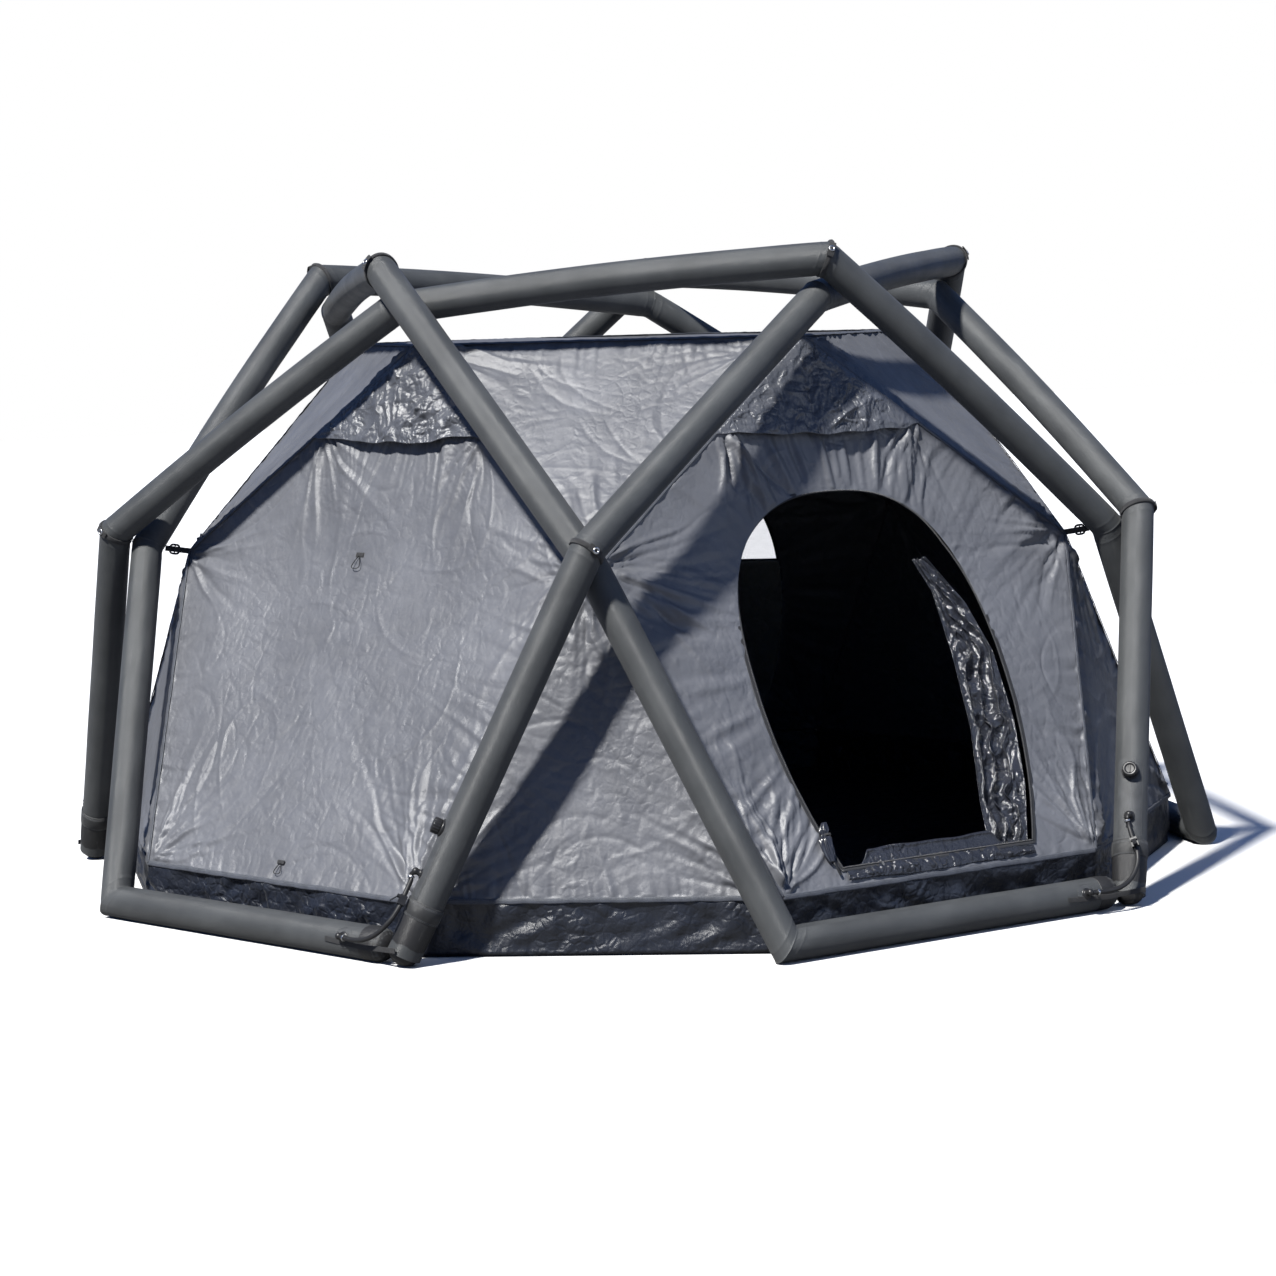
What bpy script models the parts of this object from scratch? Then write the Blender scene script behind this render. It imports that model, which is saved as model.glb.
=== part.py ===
"""Inflatable geodesic dome tent: five woven air beams with an inner tent hung inside them.

Metres, +Z up. The origin is the middle of the floor's underside, on the ground. The open entrance
faces -Y. The whole tent repeats five times about Z, so most pieces are made once and turned.
"""

import math

import bmesh
import bpy
from mathutils import Matrix, Vector

# ---------------------------------------------------------------- driving dimensions
FOLD = 5
TURN = 2 * math.pi / FOLD
GAP = 0.0003  # clearance between pieces that touch

# air-beam frame
TUBE_RADIUS = 0.0395
TUBE_SIDES = 12
SLEEVE_WALL = 0.0012
BLADDER_WALL = 0.0010
BLADDER_CLEARANCE = 0.0006
GROUND_RADIUS = 1.460  # from the middle to the feet
FOOT_HALF_ANGLE = math.radians(16.5)  # half the gap between the two feet below a crossing
CROSS_RADIUS, CROSS_HEIGHT, CROSS_TILT = 1.297, 0.879, math.radians(26)
TOP_RADIUS, TOP_HEIGHT, TOP_TILT = 0.872, 1.479, math.radians(65)
CROSS_OFFSET = TUBE_RADIUS * 1.10  # from a crossing's middle to each tube's centre line
TOP_OFFSET = TUBE_RADIUS * 1.24
FOOT_AXIS_HEIGHT = 0.021
GROUND_END_SPACE = 0.050  # from the end of a ground tube to the next foot

# valves and hoses
VALVE_UP = 0.275  # along the leg from the foot
HOSE_UP = 0.165
VALVE_SIDE = (0.42, -0.90, 0.10)  # outward, sideways and up, as seen from the foot
VALVE_HOLE_RADIUS = 0.0140
VALVE_FLANGE, VALVE_NECK, VALVE_STEM, VALVE_BORE = 0.0210, 0.0150, 0.0135, 0.0105  # radii
LATHE_STEPS = 16
HOSE_RADIUS = 0.0055
HOSE_END_RADIUS = 0.0085
HOSE_END_LENGTH = 0.014
HOSE_STEP = 0.012
HOSE_NIPPLE = (0.160, math.radians(20))  # back along the ground tube, and up round it
HOSE_ROUTE = (  # outward, sideways and up from the foot, between the two ends
    (-0.012, 0.012, 0.203),
    (-0.0066, 0.0125, 0.1894),
    (0.0073, 0.0042, 0.1630),
    (0.0233, -0.0033, 0.1368),
    (0.0360, -0.0230, 0.1050),
    (0.0370, -0.0560, 0.0760),
    (0.0300, -0.0900, 0.0610),
    (0.0160, -0.1220, 0.0560),
    (0.0040, -0.1500, 0.0565),
)
CLAMP_SIZE = (0.022, 0.017, 0.017)
CLAMP_BORE_RADIUS = 0.0075
CLAMP_PIVOT = (-0.0060, 0.0, 0.0120)  # from the clamp's middle: along the hose, across, out
CLAMP_EAR = (0.0060, 0.0026, 0.0070)
LEVER_LENGTH, LEVER_WIDTH, LEVER_THICKNESS, LEVER_BARREL = 0.021, 0.0100, 0.0024, 0.0023
LEVER_OPEN = math.radians(35)

# inner tent
SHEET = 0.003
SEAM_INSET = 0.0016
APEX_RADIUS, APEX_HEIGHT = 0.787, 1.345  # roof corners, over the middle of each side wall
CORNER_RADIUS, CORNER_HEIGHT = 1.153, 0.842  # corners hung from the frame's crossings
HEM_RADIUS, HEM_HEIGHT = 1.383, 0.126  # lower corners of the walls
HEM_HALF_ANGLE = math.radians(17.16)
TUB_WALL = 0.003
VENT_HEIGHT = 1.145  # top edge of the side wall under its vent hood
HOOD_EDGE_HEIGHT = 1.125
HOOD_STAND, HOOD_LIFT = 0.006, 0.030  # hood above the wall at its corners, and at its middle
HANGER_WIDTH, HANGER_THICKNESS = 0.014, 0.002
HANGER_REACH = 1.14  # from the tube's centre line, in tube radii, past its mitred corner

# entrance: an egg-shaped opening, widest at DOOR_WIDE_HEIGHT
DOOR_SILL_HEIGHT, DOOR_WIDE_HEIGHT, DOOR_TOP_HEIGHT = 0.165, 0.550, 0.980
DOOR_HALF_WIDTH, DOOR_SILL_HALF_WIDTH = 0.355, 0.272
DOOR_ARCH_POWER = 2.5
WINDOW_SILL_HEIGHT = 0.670  # the rear window is the top of the same outline
WINDOW_CLEARANCE = 0.001

# gathered door flap, as points across and up the entrance wall
FLAP_OUTLINE = (
    (0.262, 0.172),
    (0.300, 0.290),
    (0.324, 0.430),
    (0.330, 0.590),
    (0.262, 0.810),
    (0.232, 0.800),
    (0.238, 0.600),
    (0.222, 0.430),
    (0.180, 0.270),
    (0.162, 0.172),
)
FLAP_HINGE = ((0.268, 0.150), (0.338, 0.600))
FLAP_BEHIND = (0.012, 0.040)  # nearest and farthest depth behind the wall
SLIDER_AT, SLIDER_TOWARDS = (-0.296, 0.190), (-0.344, 0.340)
SLIDER_SIZE = (0.014, 0.030, 0.006)


# ---------------------------------------------------------------- small helpers
def clear_scene():
    """Removes whatever the file opened with."""
    for old in list(bpy.data.objects):
        bpy.data.objects.remove(old, do_unlink=True)


def material(name, colour, roughness, metallic=0.0):
    """A Principled material of one plain colour."""
    made = bpy.data.materials.new(name)
    made.use_nodes = True
    shader = made.node_tree.nodes["Principled BSDF"]
    shader.inputs["Base Color"].default_value = (*colour, 1.0)
    shader.inputs["Roughness"].default_value = roughness
    shader.inputs["Metallic"].default_value = metallic
    return made


def polar(radius, angle, height):
    """The point at an angle round the tent's middle."""
    return Vector((radius * math.cos(angle), radius * math.sin(angle), height))


def cross_angle(index):
    """Where the frame's crossing number index stands; 0 is left of the entrance."""
    return math.radians(-126) + TURN * index


def wall_angle(index):
    """Where side wall number index faces; 0 is the entrance wall."""
    return math.radians(-90) + TURN * index


def mesh_from(bm, name):
    """Finishes a bmesh with its faces pointing out."""
    bmesh.ops.recalc_face_normals(bm, faces=bm.faces[:])
    mesh = bpy.data.meshes.new(name)
    bm.to_mesh(mesh)
    bm.free()
    return mesh


def add(name, mesh, finish, matrix=None):
    """Adds an object that shows the mesh with the given material."""
    if not mesh.materials:
        mesh.materials.append(finish)
    made = bpy.data.objects.new(name, mesh)
    bpy.context.scene.collection.objects.link(made)
    if matrix is not None:
        made.matrix_world = matrix
    return made


def turned(index):
    """The turn that takes piece 0 of a set of five to piece number index."""
    return Matrix.Rotation(TURN * index, 4, "Z")


def add_five(name, mesh, finish, matrix=None, numbers=range(FOLD)):
    """Adds the five copies of a repeated piece, named name_1 to name_5."""
    base = matrix or Matrix.Identity(4)
    return [add(f"{name}_{i + 1}", mesh, finish, turned(i) @ base) for i in numbers]


def cutter(name, mesh, matrix=None):
    """A guide that only cuts other pieces."""
    made = bpy.data.objects.new(name, mesh)
    bpy.context.scene.collection.objects.link(made)
    made.hide_render = True
    made.display_type = "WIRE"
    if matrix is not None:
        made.matrix_world = matrix
    return made


def boolean(target, tool, operation="DIFFERENCE"):
    """Adds an exact Boolean with the tool to the target."""
    step = target.modifiers.new(operation.title(), "BOOLEAN")
    step.operation = operation
    step.solver = "EXACT"
    step.object = tool


def solidify(target, thickness):
    """Gives a sheet its thickness, half to each side."""
    step = target.modifiers.new("Thickness", "SOLIDIFY")
    step.thickness = thickness
    step.offset = 0.0
    step.use_even_offset = True


def shade_round(mesh, angle=math.radians(40)):
    """Smooth shading with sharp edges where the surface turns a corner."""
    mesh.shade_smooth()
    mesh.set_sharp_from_angle(angle=angle)


# ---------------------------------------------------------------- solids
def sweep(bm, points, radii, first_side, sides, inward=False):
    """Adds a closed mitred tube along the points, with a flat cap at each end."""
    runs = [(b - a).normalized() for a, b in zip(points, points[1:])]
    across = (first_side - runs[0] * first_side.dot(runs[0])).normalized()
    rings = []
    for i, (point, radius) in enumerate(zip(points, radii)):
        before, after = runs[max(i - 1, 0)], runs[min(i, len(runs) - 1)]
        plane = (before + after).normalized()
        up = before.cross(across)
        ring = []
        for side in range(sides):
            angle = 2 * math.pi * (side + 0.5) / sides
            spoke = (across * math.cos(angle) + up * math.sin(angle)) * radius
            slide = spoke.dot(plane) / before.dot(plane)
            ring.append(bm.verts.new(point + spoke - before * slide))
        rings.append(ring)
        across = (before.rotation_difference(after) @ across).normalized()
    faces = []
    for low, high in zip(rings, rings[1:]):
        for side in range(sides):
            after = (side + 1) % sides
            faces.append(bm.faces.new((low[side], low[after], high[after], high[side])))
    faces.append(bm.faces.new(rings[0][::-1]))
    faces.append(bm.faces.new(rings[-1]))
    if inward:
        bmesh.ops.reverse_faces(bm, faces=faces)


def lathe(profile, name, steps=LATHE_STEPS):
    """Turns a profile of (radius, height) about Z. It closes on itself unless it starts on Z."""
    bm = bmesh.new()
    rings = []
    for radius, height in profile:
        if radius == 0:
            rings.append([bm.verts.new((0, 0, height))])
            continue
        ring = []
        for step in range(steps):
            angle = 2 * math.pi * step / steps
            ring.append(bm.verts.new((radius * math.cos(angle), radius * math.sin(angle), height)))
        rings.append(ring)
    following = rings[1:] + rings[:1] if profile[0][0] > 0 else rings[1:]
    for low, high in zip(rings, following):
        for step in range(steps):
            after = (step + 1) % steps
            corners = [low[step % len(low)], low[after % len(low)]]
            corners += [high[after % len(high)], high[step % len(high)]]
            bm.faces.new(list(dict.fromkeys(corners)))
    mesh = mesh_from(bm, name)
    shade_round(mesh)
    return mesh


def extruded(outline, low, high, name):
    """A prism: an outline of (x, z) points, from y = low to y = high."""
    bm = bmesh.new()
    front = [bm.verts.new((x, low, z)) for x, z in outline]
    bottom = bm.faces.new(front)
    grown = bmesh.ops.extrude_face_region(bm, geom=[bottom])["geom"]
    moved = [v for v in grown if isinstance(v, bmesh.types.BMVert)]
    bmesh.ops.translate(bm, verts=moved, vec=(0, high - low, 0))
    return mesh_from(bm, name)


def block(size, name, centre=(0, 0, 0)):
    """A box of the given size."""
    bm = bmesh.new()
    bmesh.ops.create_cube(bm, size=1.0, matrix=Matrix.Translation(centre) @ Matrix.Diagonal((*size, 1)))
    return mesh_from(bm, name)


def sheet(corners, faces, name, inset=SEAM_INSET):
    """A flat or folded sheet with its outer edge drawn in from the seam lines."""
    bm = bmesh.new()
    verts = [bm.verts.new(c) for c in corners]
    for face in faces:
        bm.faces.new([verts[i] for i in face])
    bmesh.ops.recalc_face_normals(bm, faces=bm.faces[:])
    rim = bmesh.ops.inset_region(
        bm, faces=bm.faces[:], thickness=inset, use_boundary=True, use_even_offset=True
    )
    bmesh.ops.delete(bm, geom=rim["faces"], context="FACES")
    mesh = bpy.data.meshes.new(name)
    bm.to_mesh(mesh)
    bm.free()
    return mesh


def frame_of(origin, x_axis, z_axis):
    """A placement with its X along x_axis and its Z near z_axis."""
    x = x_axis.normalized()
    z = (z_axis - x * z_axis.dot(x)).normalized()
    y = z.cross(x)
    return Matrix.Translation(origin) @ Matrix((x, y, z)).transposed().to_4x4()


# ---------------------------------------------------------------- frame geometry
def side_strand(angle, side):
    """Centre of the outer (+1) or inner (-1) tube where two beams cross on a side."""
    out = polar(math.cos(CROSS_TILT), angle, math.sin(CROSS_TILT))
    return polar(CROSS_RADIUS, angle, CROSS_HEIGHT) + out * CROSS_OFFSET * side


def top_strand(angle, side):
    """The same at a corner of the top ring."""
    out = polar(math.cos(TOP_TILT), angle, math.sin(TOP_TILT))
    return polar(TOP_RADIUS, angle, TOP_HEIGHT) + out * TOP_OFFSET * side


def foot_vertex(index):
    """Where the starting leg of beam number index meets the ground tube's level."""
    return polar(GROUND_RADIUS, cross_angle(index) - FOOT_HALF_ANGLE, TUBE_RADIUS)


def beam_points(index=0):
    """Centre line of one beam: up, over, under, over, under, down and along the ground."""
    start = cross_angle(index)
    first = side_strand(start, 1)
    foot = foot_vertex(index)
    leg = (foot - first).normalized()
    foot_end = foot + leg * ((FOOT_AXIS_HEIGHT - foot.z) / leg.z)
    landing = start + 2 * TURN
    corner = polar(GROUND_RADIUS, landing + FOOT_HALF_ANGLE, TUBE_RADIUS)
    next_foot = foot_vertex(index + 3)
    ground = (next_foot - corner).normalized()
    return [
        foot_end,
        first,
        top_strand(start + TURN / 2, -1),
        top_strand(start + 3 * TURN / 2, 1),
        side_strand(landing, -1),
        corner,
        next_foot - ground * GROUND_END_SPACE,
    ]


def foot_axes(index=0):
    """Outward and sideways directions at a foot."""
    angle = cross_angle(index) - FOOT_HALF_ANGLE
    return polar(1, angle, 0), polar(1, angle + math.pi / 2, 0)


def foot_point(out, side, up):
    """A point given from foot 0 as outward, sideways and height."""
    outward, sideways = foot_axes()
    base = foot_vertex(0)
    return Vector((base.x, base.y, 0)) + outward * out + sideways * side + Vector((0, 0, up))


def leg_axis():
    """Direction of leg 0, upwards."""
    points = beam_points()
    return (points[1] - points[0]).normalized()


def valve_direction():
    """Square to leg 0, towards the side where its valve and hose stand."""
    outward, sideways = foot_axes()
    towards = outward * VALVE_SIDE[0] + sideways * VALVE_SIDE[1] + Vector((0, 0, VALVE_SIDE[2]))
    along = leg_axis()
    return (towards - along * towards.dot(along)).normalized()


def flat_reach(radius=TUBE_RADIUS):
    """From a tube's centre line to the middle of one of its flats."""
    return radius * math.cos(math.pi / TUBE_SIDES)


# ---------------------------------------------------------------- frame pieces
def hollow_tube(radius, wall, shorten, name):
    """One beam's tube, with its two ends closed."""
    points = beam_points()
    points[0] = points[0] + (points[1] - points[0]).normalized() * shorten
    points[-1] = points[-1] + (points[-2] - points[-1]).normalized() * shorten
    inner = list(points)
    inner[0] = points[0] + (points[1] - points[0]).normalized() * wall
    inner[-1] = points[-1] + (points[-2] - points[-1]).normalized() * wall
    bm = bmesh.new()
    side = valve_direction()
    sweep(bm, points, [radius] * len(points), side, TUBE_SIDES)
    sweep(bm, inner, [radius - wall] * len(points), side, TUBE_SIDES, inward=True)
    mesh = bpy.data.meshes.new(name)
    bm.to_mesh(mesh)
    bm.free()
    shade_round(mesh)
    return mesh


def valve_frame(up=VALVE_UP):
    """Placement on leg 0's skin: Z straight out of the valve."""
    out = valve_direction()
    origin = foot_vertex(0) + leg_axis() * up + out * flat_reach()
    return frame_of(origin, leg_axis(), out)


def add_beams(cloth, film):
    """Sleeves and bladders, each with the hole that its valve goes through."""
    sleeve = hollow_tube(TUBE_RADIUS, SLEEVE_WALL, 0.0, "sleeve")
    bladder_radius = TUBE_RADIUS - SLEEVE_WALL - BLADDER_CLEARANCE
    shorten = SLEEVE_WALL + BLADDER_CLEARANCE
    bladder = hollow_tube(bladder_radius, BLADDER_WALL, shorten, "bladder")
    profile = [(0, -0.02), (VALVE_HOLE_RADIUS, -0.02), (VALVE_HOLE_RADIUS, 0.02), (0, 0.02)]
    hole = lathe(profile, "valve_hole", steps=24)
    for index in range(FOLD):
        number = index + 1
        tool = cutter(f"valve_hole_{number}", hole, turned(index) @ valve_frame())
        boolean(add(f"beam_{number}_sleeve", sleeve, cloth, turned(index)), tool)
        boolean(add(f"beam_{number}_bladder", bladder, film, turned(index)), tool)


def add_valves(plastic, cap_plastic):
    """Flanged valve with a stem through the sleeve, and its screw cap."""
    stem_end, skin, flange_top, neck_top = -0.008, 0.0005, 0.0035, 0.0150
    body = lathe(
        [
            (VALVE_STEM, stem_end),
            (VALVE_STEM, skin),
            (VALVE_FLANGE, skin),
            (VALVE_FLANGE, flange_top),
            (VALVE_NECK, flange_top),
            (VALVE_NECK, neck_top),
            (VALVE_BORE, neck_top),
            (VALVE_BORE, stem_end),
        ],
        "valve",
    )
    inner = VALVE_NECK + 2 * GAP
    outer = inner + 0.0026
    skirt, lid, top, chamfer = flange_top + 2 * GAP, neck_top + 2 * GAP, 0.0230, 0.0015
    cap = lathe(
        [
            (0, top),
            (outer - chamfer, top),
            (outer, top - chamfer),
            (outer, skirt),
            (inner, skirt),
            (inner, lid),
            (0, lid),
        ],
        "valve_cap",
    )
    add_five("valve", body, plastic, valve_frame())
    add_five("valve_cap", cap, cap_plastic, valve_frame())


def catmull(points, step):
    """Points about every step metres along a smooth curve through the given ones."""
    knots = [points[0] * 2 - points[1], *points, points[-1] * 2 - points[-2]]
    out = []
    for a, b, c, d in zip(knots, knots[1:], knots[2:], knots[3:]):
        count = max(round((c - b).length / step), 1)
        for i in range(count):
            t = i / count
            out.append(
                0.5
                * (
                    2 * b
                    + (c - a) * t
                    + (2 * a - 5 * b + 4 * c - d) * t**2
                    + (3 * b - a - 3 * c + d) * t**3
                )
            )
    return [*out, points[-1]]


def hose_points():
    """The link hose's centre line: out of the leg, down beside it and into the ground tube."""
    out = valve_direction()
    base = foot_vertex(0) + leg_axis() * HOSE_UP + out * (flat_reach() + GAP)
    end_up = base + out * HOSE_END_LENGTH
    tail = beam_points(-3)
    along = (tail[-1] - tail[-2]).normalized()
    back, round_up = HOSE_NIPPLE
    outward = along.cross(Vector((0, 0, 1)))
    away = outward * math.cos(round_up) + Vector((0, 0, 1)) * math.sin(round_up)
    axis_point = foot_vertex(0) - along * back
    nipple = axis_point + away * (TUBE_RADIUS + GAP)
    elbow = axis_point + away * (TUBE_RADIUS + HOSE_END_LENGTH)
    route = [foot_point(*p) for p in HOSE_ROUTE]
    middle = catmull([end_up, *route, elbow], HOSE_STEP)
    return [base, *middle, nipple]


def hose_middle():
    """The middle of the hose's straight stretch beside the leg, and its direction there."""
    upper, lower = foot_point(*HOSE_ROUTE[2]), foot_point(*HOSE_ROUTE[3])
    return (upper + lower) / 2, (lower - upper).normalized()


def add_hoses(rubber, plastic, lever_plastic):
    """Link hoses with moulded ends, a pinch clamp on each and the clamp's lever."""
    points = hose_points()
    ends = (0, 1, len(points) - 2, len(points) - 1)
    radii = [HOSE_END_RADIUS if i in ends else HOSE_RADIUS for i in range(len(points))]
    bm = bmesh.new()
    sweep(bm, points, radii, leg_axis(), 8)
    hose = mesh_from(bm, "link_hose")
    shade_round(hose)
    add_five("link_hose", hose, rubber)

    middle, along = hose_middle()
    place = frame_of(middle, along, valve_direction())
    body = block(CLAMP_SIZE, "hose_clamp")
    ears = []
    for side in (-1, 1):
        across = side * (LEVER_WIDTH / 2 + GAP + CLAMP_EAR[1] / 2)
        ears.append(block(CLAMP_EAR, "clamp_ear", (CLAMP_PIVOT[0], across, CLAMP_PIVOT[2] - 0.0010)))
    long = CLAMP_SIZE[0]
    profile = [(0, -long), (CLAMP_BORE_RADIUS, -long), (CLAMP_BORE_RADIUS, long), (0, long)]
    bore = lathe(profile, "clamp_bore")
    lay = Matrix.Rotation(math.pi / 2, 4, "Y")
    for index, clamp in enumerate(add_five("hose_clamp", body, plastic, place)):
        spot = turned(index) @ place
        for side, ear in enumerate(ears):
            boolean(clamp, cutter(f"clamp_ear_{index + 1}_{side}", ear, spot), "UNION")
        boolean(clamp, cutter(f"clamp_bore_{index + 1}", bore, spot @ lay))

    outline = []
    half = LEVER_THICKNESS / 2
    for step in range(7):
        angle = math.radians(35 + 290 * step / 6)
        outline.append((LEVER_BARREL * math.cos(angle), LEVER_BARREL * math.sin(angle)))
    outline += [(LEVER_LENGTH, -half), (LEVER_LENGTH, half)]
    width = LEVER_WIDTH / 2
    lever = extruded(outline, -width, width, "clamp_lever")
    pivot = Matrix.Translation(CLAMP_PIVOT) @ Matrix.Rotation(-LEVER_OPEN, 4, "Y")
    add_five("clamp_lever", lever, lever_plastic, place @ pivot)


# ---------------------------------------------------------------- inner tent geometry
def apothem(height):
    """How far the side wall stands from the middle at a height, measured square to it."""
    apex = (APEX_RADIUS, APEX_HEIGHT)
    corner = (CORNER_RADIUS * math.cos(TURN / 2), CORNER_HEIGHT)
    hem = (HEM_RADIUS * math.cos(TURN / 2 - HEM_HALF_ANGLE), HEM_HEIGHT)
    upper, lower = (apex, corner) if height > CORNER_HEIGHT else (corner, hem)
    share = (upper[1] - height) / (upper[1] - lower[1])
    return upper[0] + (lower[0] - upper[0]) * share


def wall_normal(height):
    """Outward direction of wall 0 at a height, in the wall's plane of symmetry."""
    rise = 0.01 if height > CORNER_HEIGHT else -0.01
    slope = Vector((0, -(apothem(height + rise) - apothem(height)), rise))
    return Vector((1, 0, 0)).cross(slope).normalized() * (1 if rise > 0 else -1)


def wall_point(across, height, out=0.0):
    """A point on wall 0, or out metres outside it."""
    return Vector((across, -apothem(height), height)) + wall_normal(height) * out


def half_width(height):
    """Half the width of a side wall above its corners."""
    corner_half = CORNER_RADIUS * math.sin(TURN / 2)
    return corner_half * (APEX_HEIGHT - height) / (APEX_HEIGHT - CORNER_HEIGHT)


def hem_point(angle, side):
    """A lower corner of the walls beside the crossing at that angle."""
    return polar(HEM_RADIUS, angle + side * HEM_HALF_ANGLE, HEM_HEIGHT)


def door_outline(clearance=0.0, sill=DOOR_SILL_HEIGHT):
    """Across and height points of the entrance, or of its part above the sill height."""
    reach = DOOR_HALF_WIDTH - clearance
    top = DOOR_TOP_HEIGHT - DOOR_WIDE_HEIGHT - clearance
    right = []
    if sill < DOOR_WIDE_HEIGHT:
        steps = 5
        for i in range(steps):
            below = 1 - i / steps
            height = DOOR_WIDE_HEIGHT - (DOOR_WIDE_HEIGHT - sill) * below
            width = reach - (DOOR_HALF_WIDTH - DOOR_SILL_HALF_WIDTH) * below**2
            right.append((width, height))
        start = 0.0
    else:
        sill += clearance
        start = ((sill - DOOR_WIDE_HEIGHT) / top) ** DOOR_ARCH_POWER
    steps = 9
    turn_from = math.asin(math.sqrt(start))
    for i in range(steps):
        angle = turn_from + (math.pi / 2 - turn_from) * i / steps
        width = reach * math.cos(angle) ** (2 / DOOR_ARCH_POWER)
        height = DOOR_WIDE_HEIGHT + top * math.sin(angle) ** (2 / DOOR_ARCH_POWER)
        right.append((width, height))
    left = [(-x, z) for x, z in reversed(right)]
    return [*right, (0.0, DOOR_WIDE_HEIGHT + top), *left]


def wall_sheet(name, top=VENT_HEIGHT, inset=SEAM_INSET):
    """Side wall 0, folded once at its corners' height."""
    left, right = cross_angle(0), cross_angle(1)
    corners = [
        wall_point(-half_width(top), top),
        wall_point(half_width(top), top),
        polar(CORNER_RADIUS, right, CORNER_HEIGHT),
        hem_point(right, -1),
        hem_point(left, 1),
        polar(CORNER_RADIUS, left, CORNER_HEIGHT),
    ]
    return sheet(corners, [(0, 1, 2, 5), (5, 2, 3, 4)], name, inset)


# ---------------------------------------------------------------- inner tent pieces
def add_walls(cloth, mesh_cloth):
    """Five side walls: the entrance, the rear wall with its window, and three closed ones."""
    closed = wall_sheet("side_wall")
    outside, inside = -1.6, -0.4
    entrance = extruded(door_outline(), outside, inside, "entrance_cut")
    window = door_outline(sill=WINDOW_SILL_HEIGHT)
    window_cut = extruded(window, outside, inside, "window_cut")
    for index, name in enumerate(("entrance_wall", "side_wall_1", "rear_wall", "side_wall_2", "side_wall_3")):
        wall = add(name, closed, cloth, turned(index))
        solidify(wall, SHEET)
        if name == "entrance_wall":
            boolean(wall, cutter("entrance_tool", entrance))
        if name == "rear_wall":
            boolean(wall, cutter("window_tool", window_cut, turned(index)))
    pane = add("rear_window_mesh", wall_sheet("window_pane"), mesh_cloth, turned(2))
    solidify(pane, SHEET / 2)
    smaller = door_outline(WINDOW_CLEARANCE, WINDOW_SILL_HEIGHT)
    keep = extruded(smaller, outside, inside, "window_keep")
    boolean(pane, cutter("window_pane_tool", keep, turned(2)), "INTERSECT")


def add_corner_panels(cloth):
    """Triangles from each hung corner down to the hem."""
    angle = cross_angle(0)
    corners = [polar(CORNER_RADIUS, angle, CORNER_HEIGHT), hem_point(angle, -1), hem_point(angle, 1)]
    panel = sheet(corners, [(0, 1, 2)], "corner_panel")
    for made in add_five("corner_panel", panel, cloth):
        solidify(made, SHEET)


def add_roof(cloth):
    """Flat five-sided top with a triangle falling from each side."""
    corners = [polar(APEX_RADIUS, wall_angle(i), APEX_HEIGHT) for i in range(FOLD)]
    corners += [polar(CORNER_RADIUS, cross_angle(i + 1), CORNER_HEIGHT) for i in range(FOLD)]
    faces = [tuple(range(FOLD))]
    faces += [(i, FOLD + i, (i + 1) % FOLD) for i in range(FOLD)]
    solidify(add("roof", sheet(corners, faces, "roof"), cloth), SHEET)


def add_hoods(cloth):
    """Vent hoods: folded triangles that stand off the wall along their lower edge."""
    side = half_width(HOOD_EDGE_HEIGHT) - 0.004
    corners = [
        wall_point(0, APEX_HEIGHT - 0.010, HOOD_STAND),
        wall_point(-side, HOOD_EDGE_HEIGHT, HOOD_STAND),
        wall_point(0, HOOD_EDGE_HEIGHT, HOOD_LIFT),
        wall_point(side, HOOD_EDGE_HEIGHT, HOOD_STAND),
    ]
    hood = sheet(corners, [(0, 1, 2), (0, 2, 3)], "vent_hood")
    for made in add_five("vent_hood", hood, cloth):
        solidify(made, SHEET)


def add_floor(cloth):
    """Bathtub floor: a ten-sided sheet with a low wall round it."""
    bm = bmesh.new()
    top = HEM_HEIGHT - SHEET
    rings = []
    for inset, height in ((0, 0), (0, top), (TUB_WALL, top), (TUB_WALL, TUB_WALL)):
        ring = []
        for i in range(FOLD):
            for side in (-1, 1):
                spot = hem_point(cross_angle(i), side)
                flat = Vector((spot.x, spot.y, 0))
                ring.append(bm.verts.new(flat * (1 - inset / HEM_RADIUS) + Vector((0, 0, height))))
        rings.append(ring)
    count = len(rings[0])
    for low, high in zip(rings, rings[1:]):
        for i in range(count):
            after = (i + 1) % count
            bm.faces.new((low[i], low[after], high[after], high[i]))
    bm.faces.new(rings[0])
    bm.faces.new(rings[-1])
    add("bathtub_floor", mesh_from(bm, "bathtub_floor"), cloth)


def add_hangers(webbing):
    """Short straps from the frame's crossings to the inner tent's hung corners."""
    corner = polar(CORNER_RADIUS, cross_angle(0), CORNER_HEIGHT)
    tube = side_strand(cross_angle(0), -1)
    towards = (tube - corner).normalized()
    first = corner + towards * 0.008
    last = tube - towards * TUBE_RADIUS * HANGER_REACH
    size = ((last - first).length, HANGER_WIDTH, HANGER_THICKNESS)
    place = frame_of((first + last) / 2, towards, Vector((0, 0, 1)))
    add_five("corner_hanger", block(size, "corner_hanger"), webbing, place)


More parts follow.
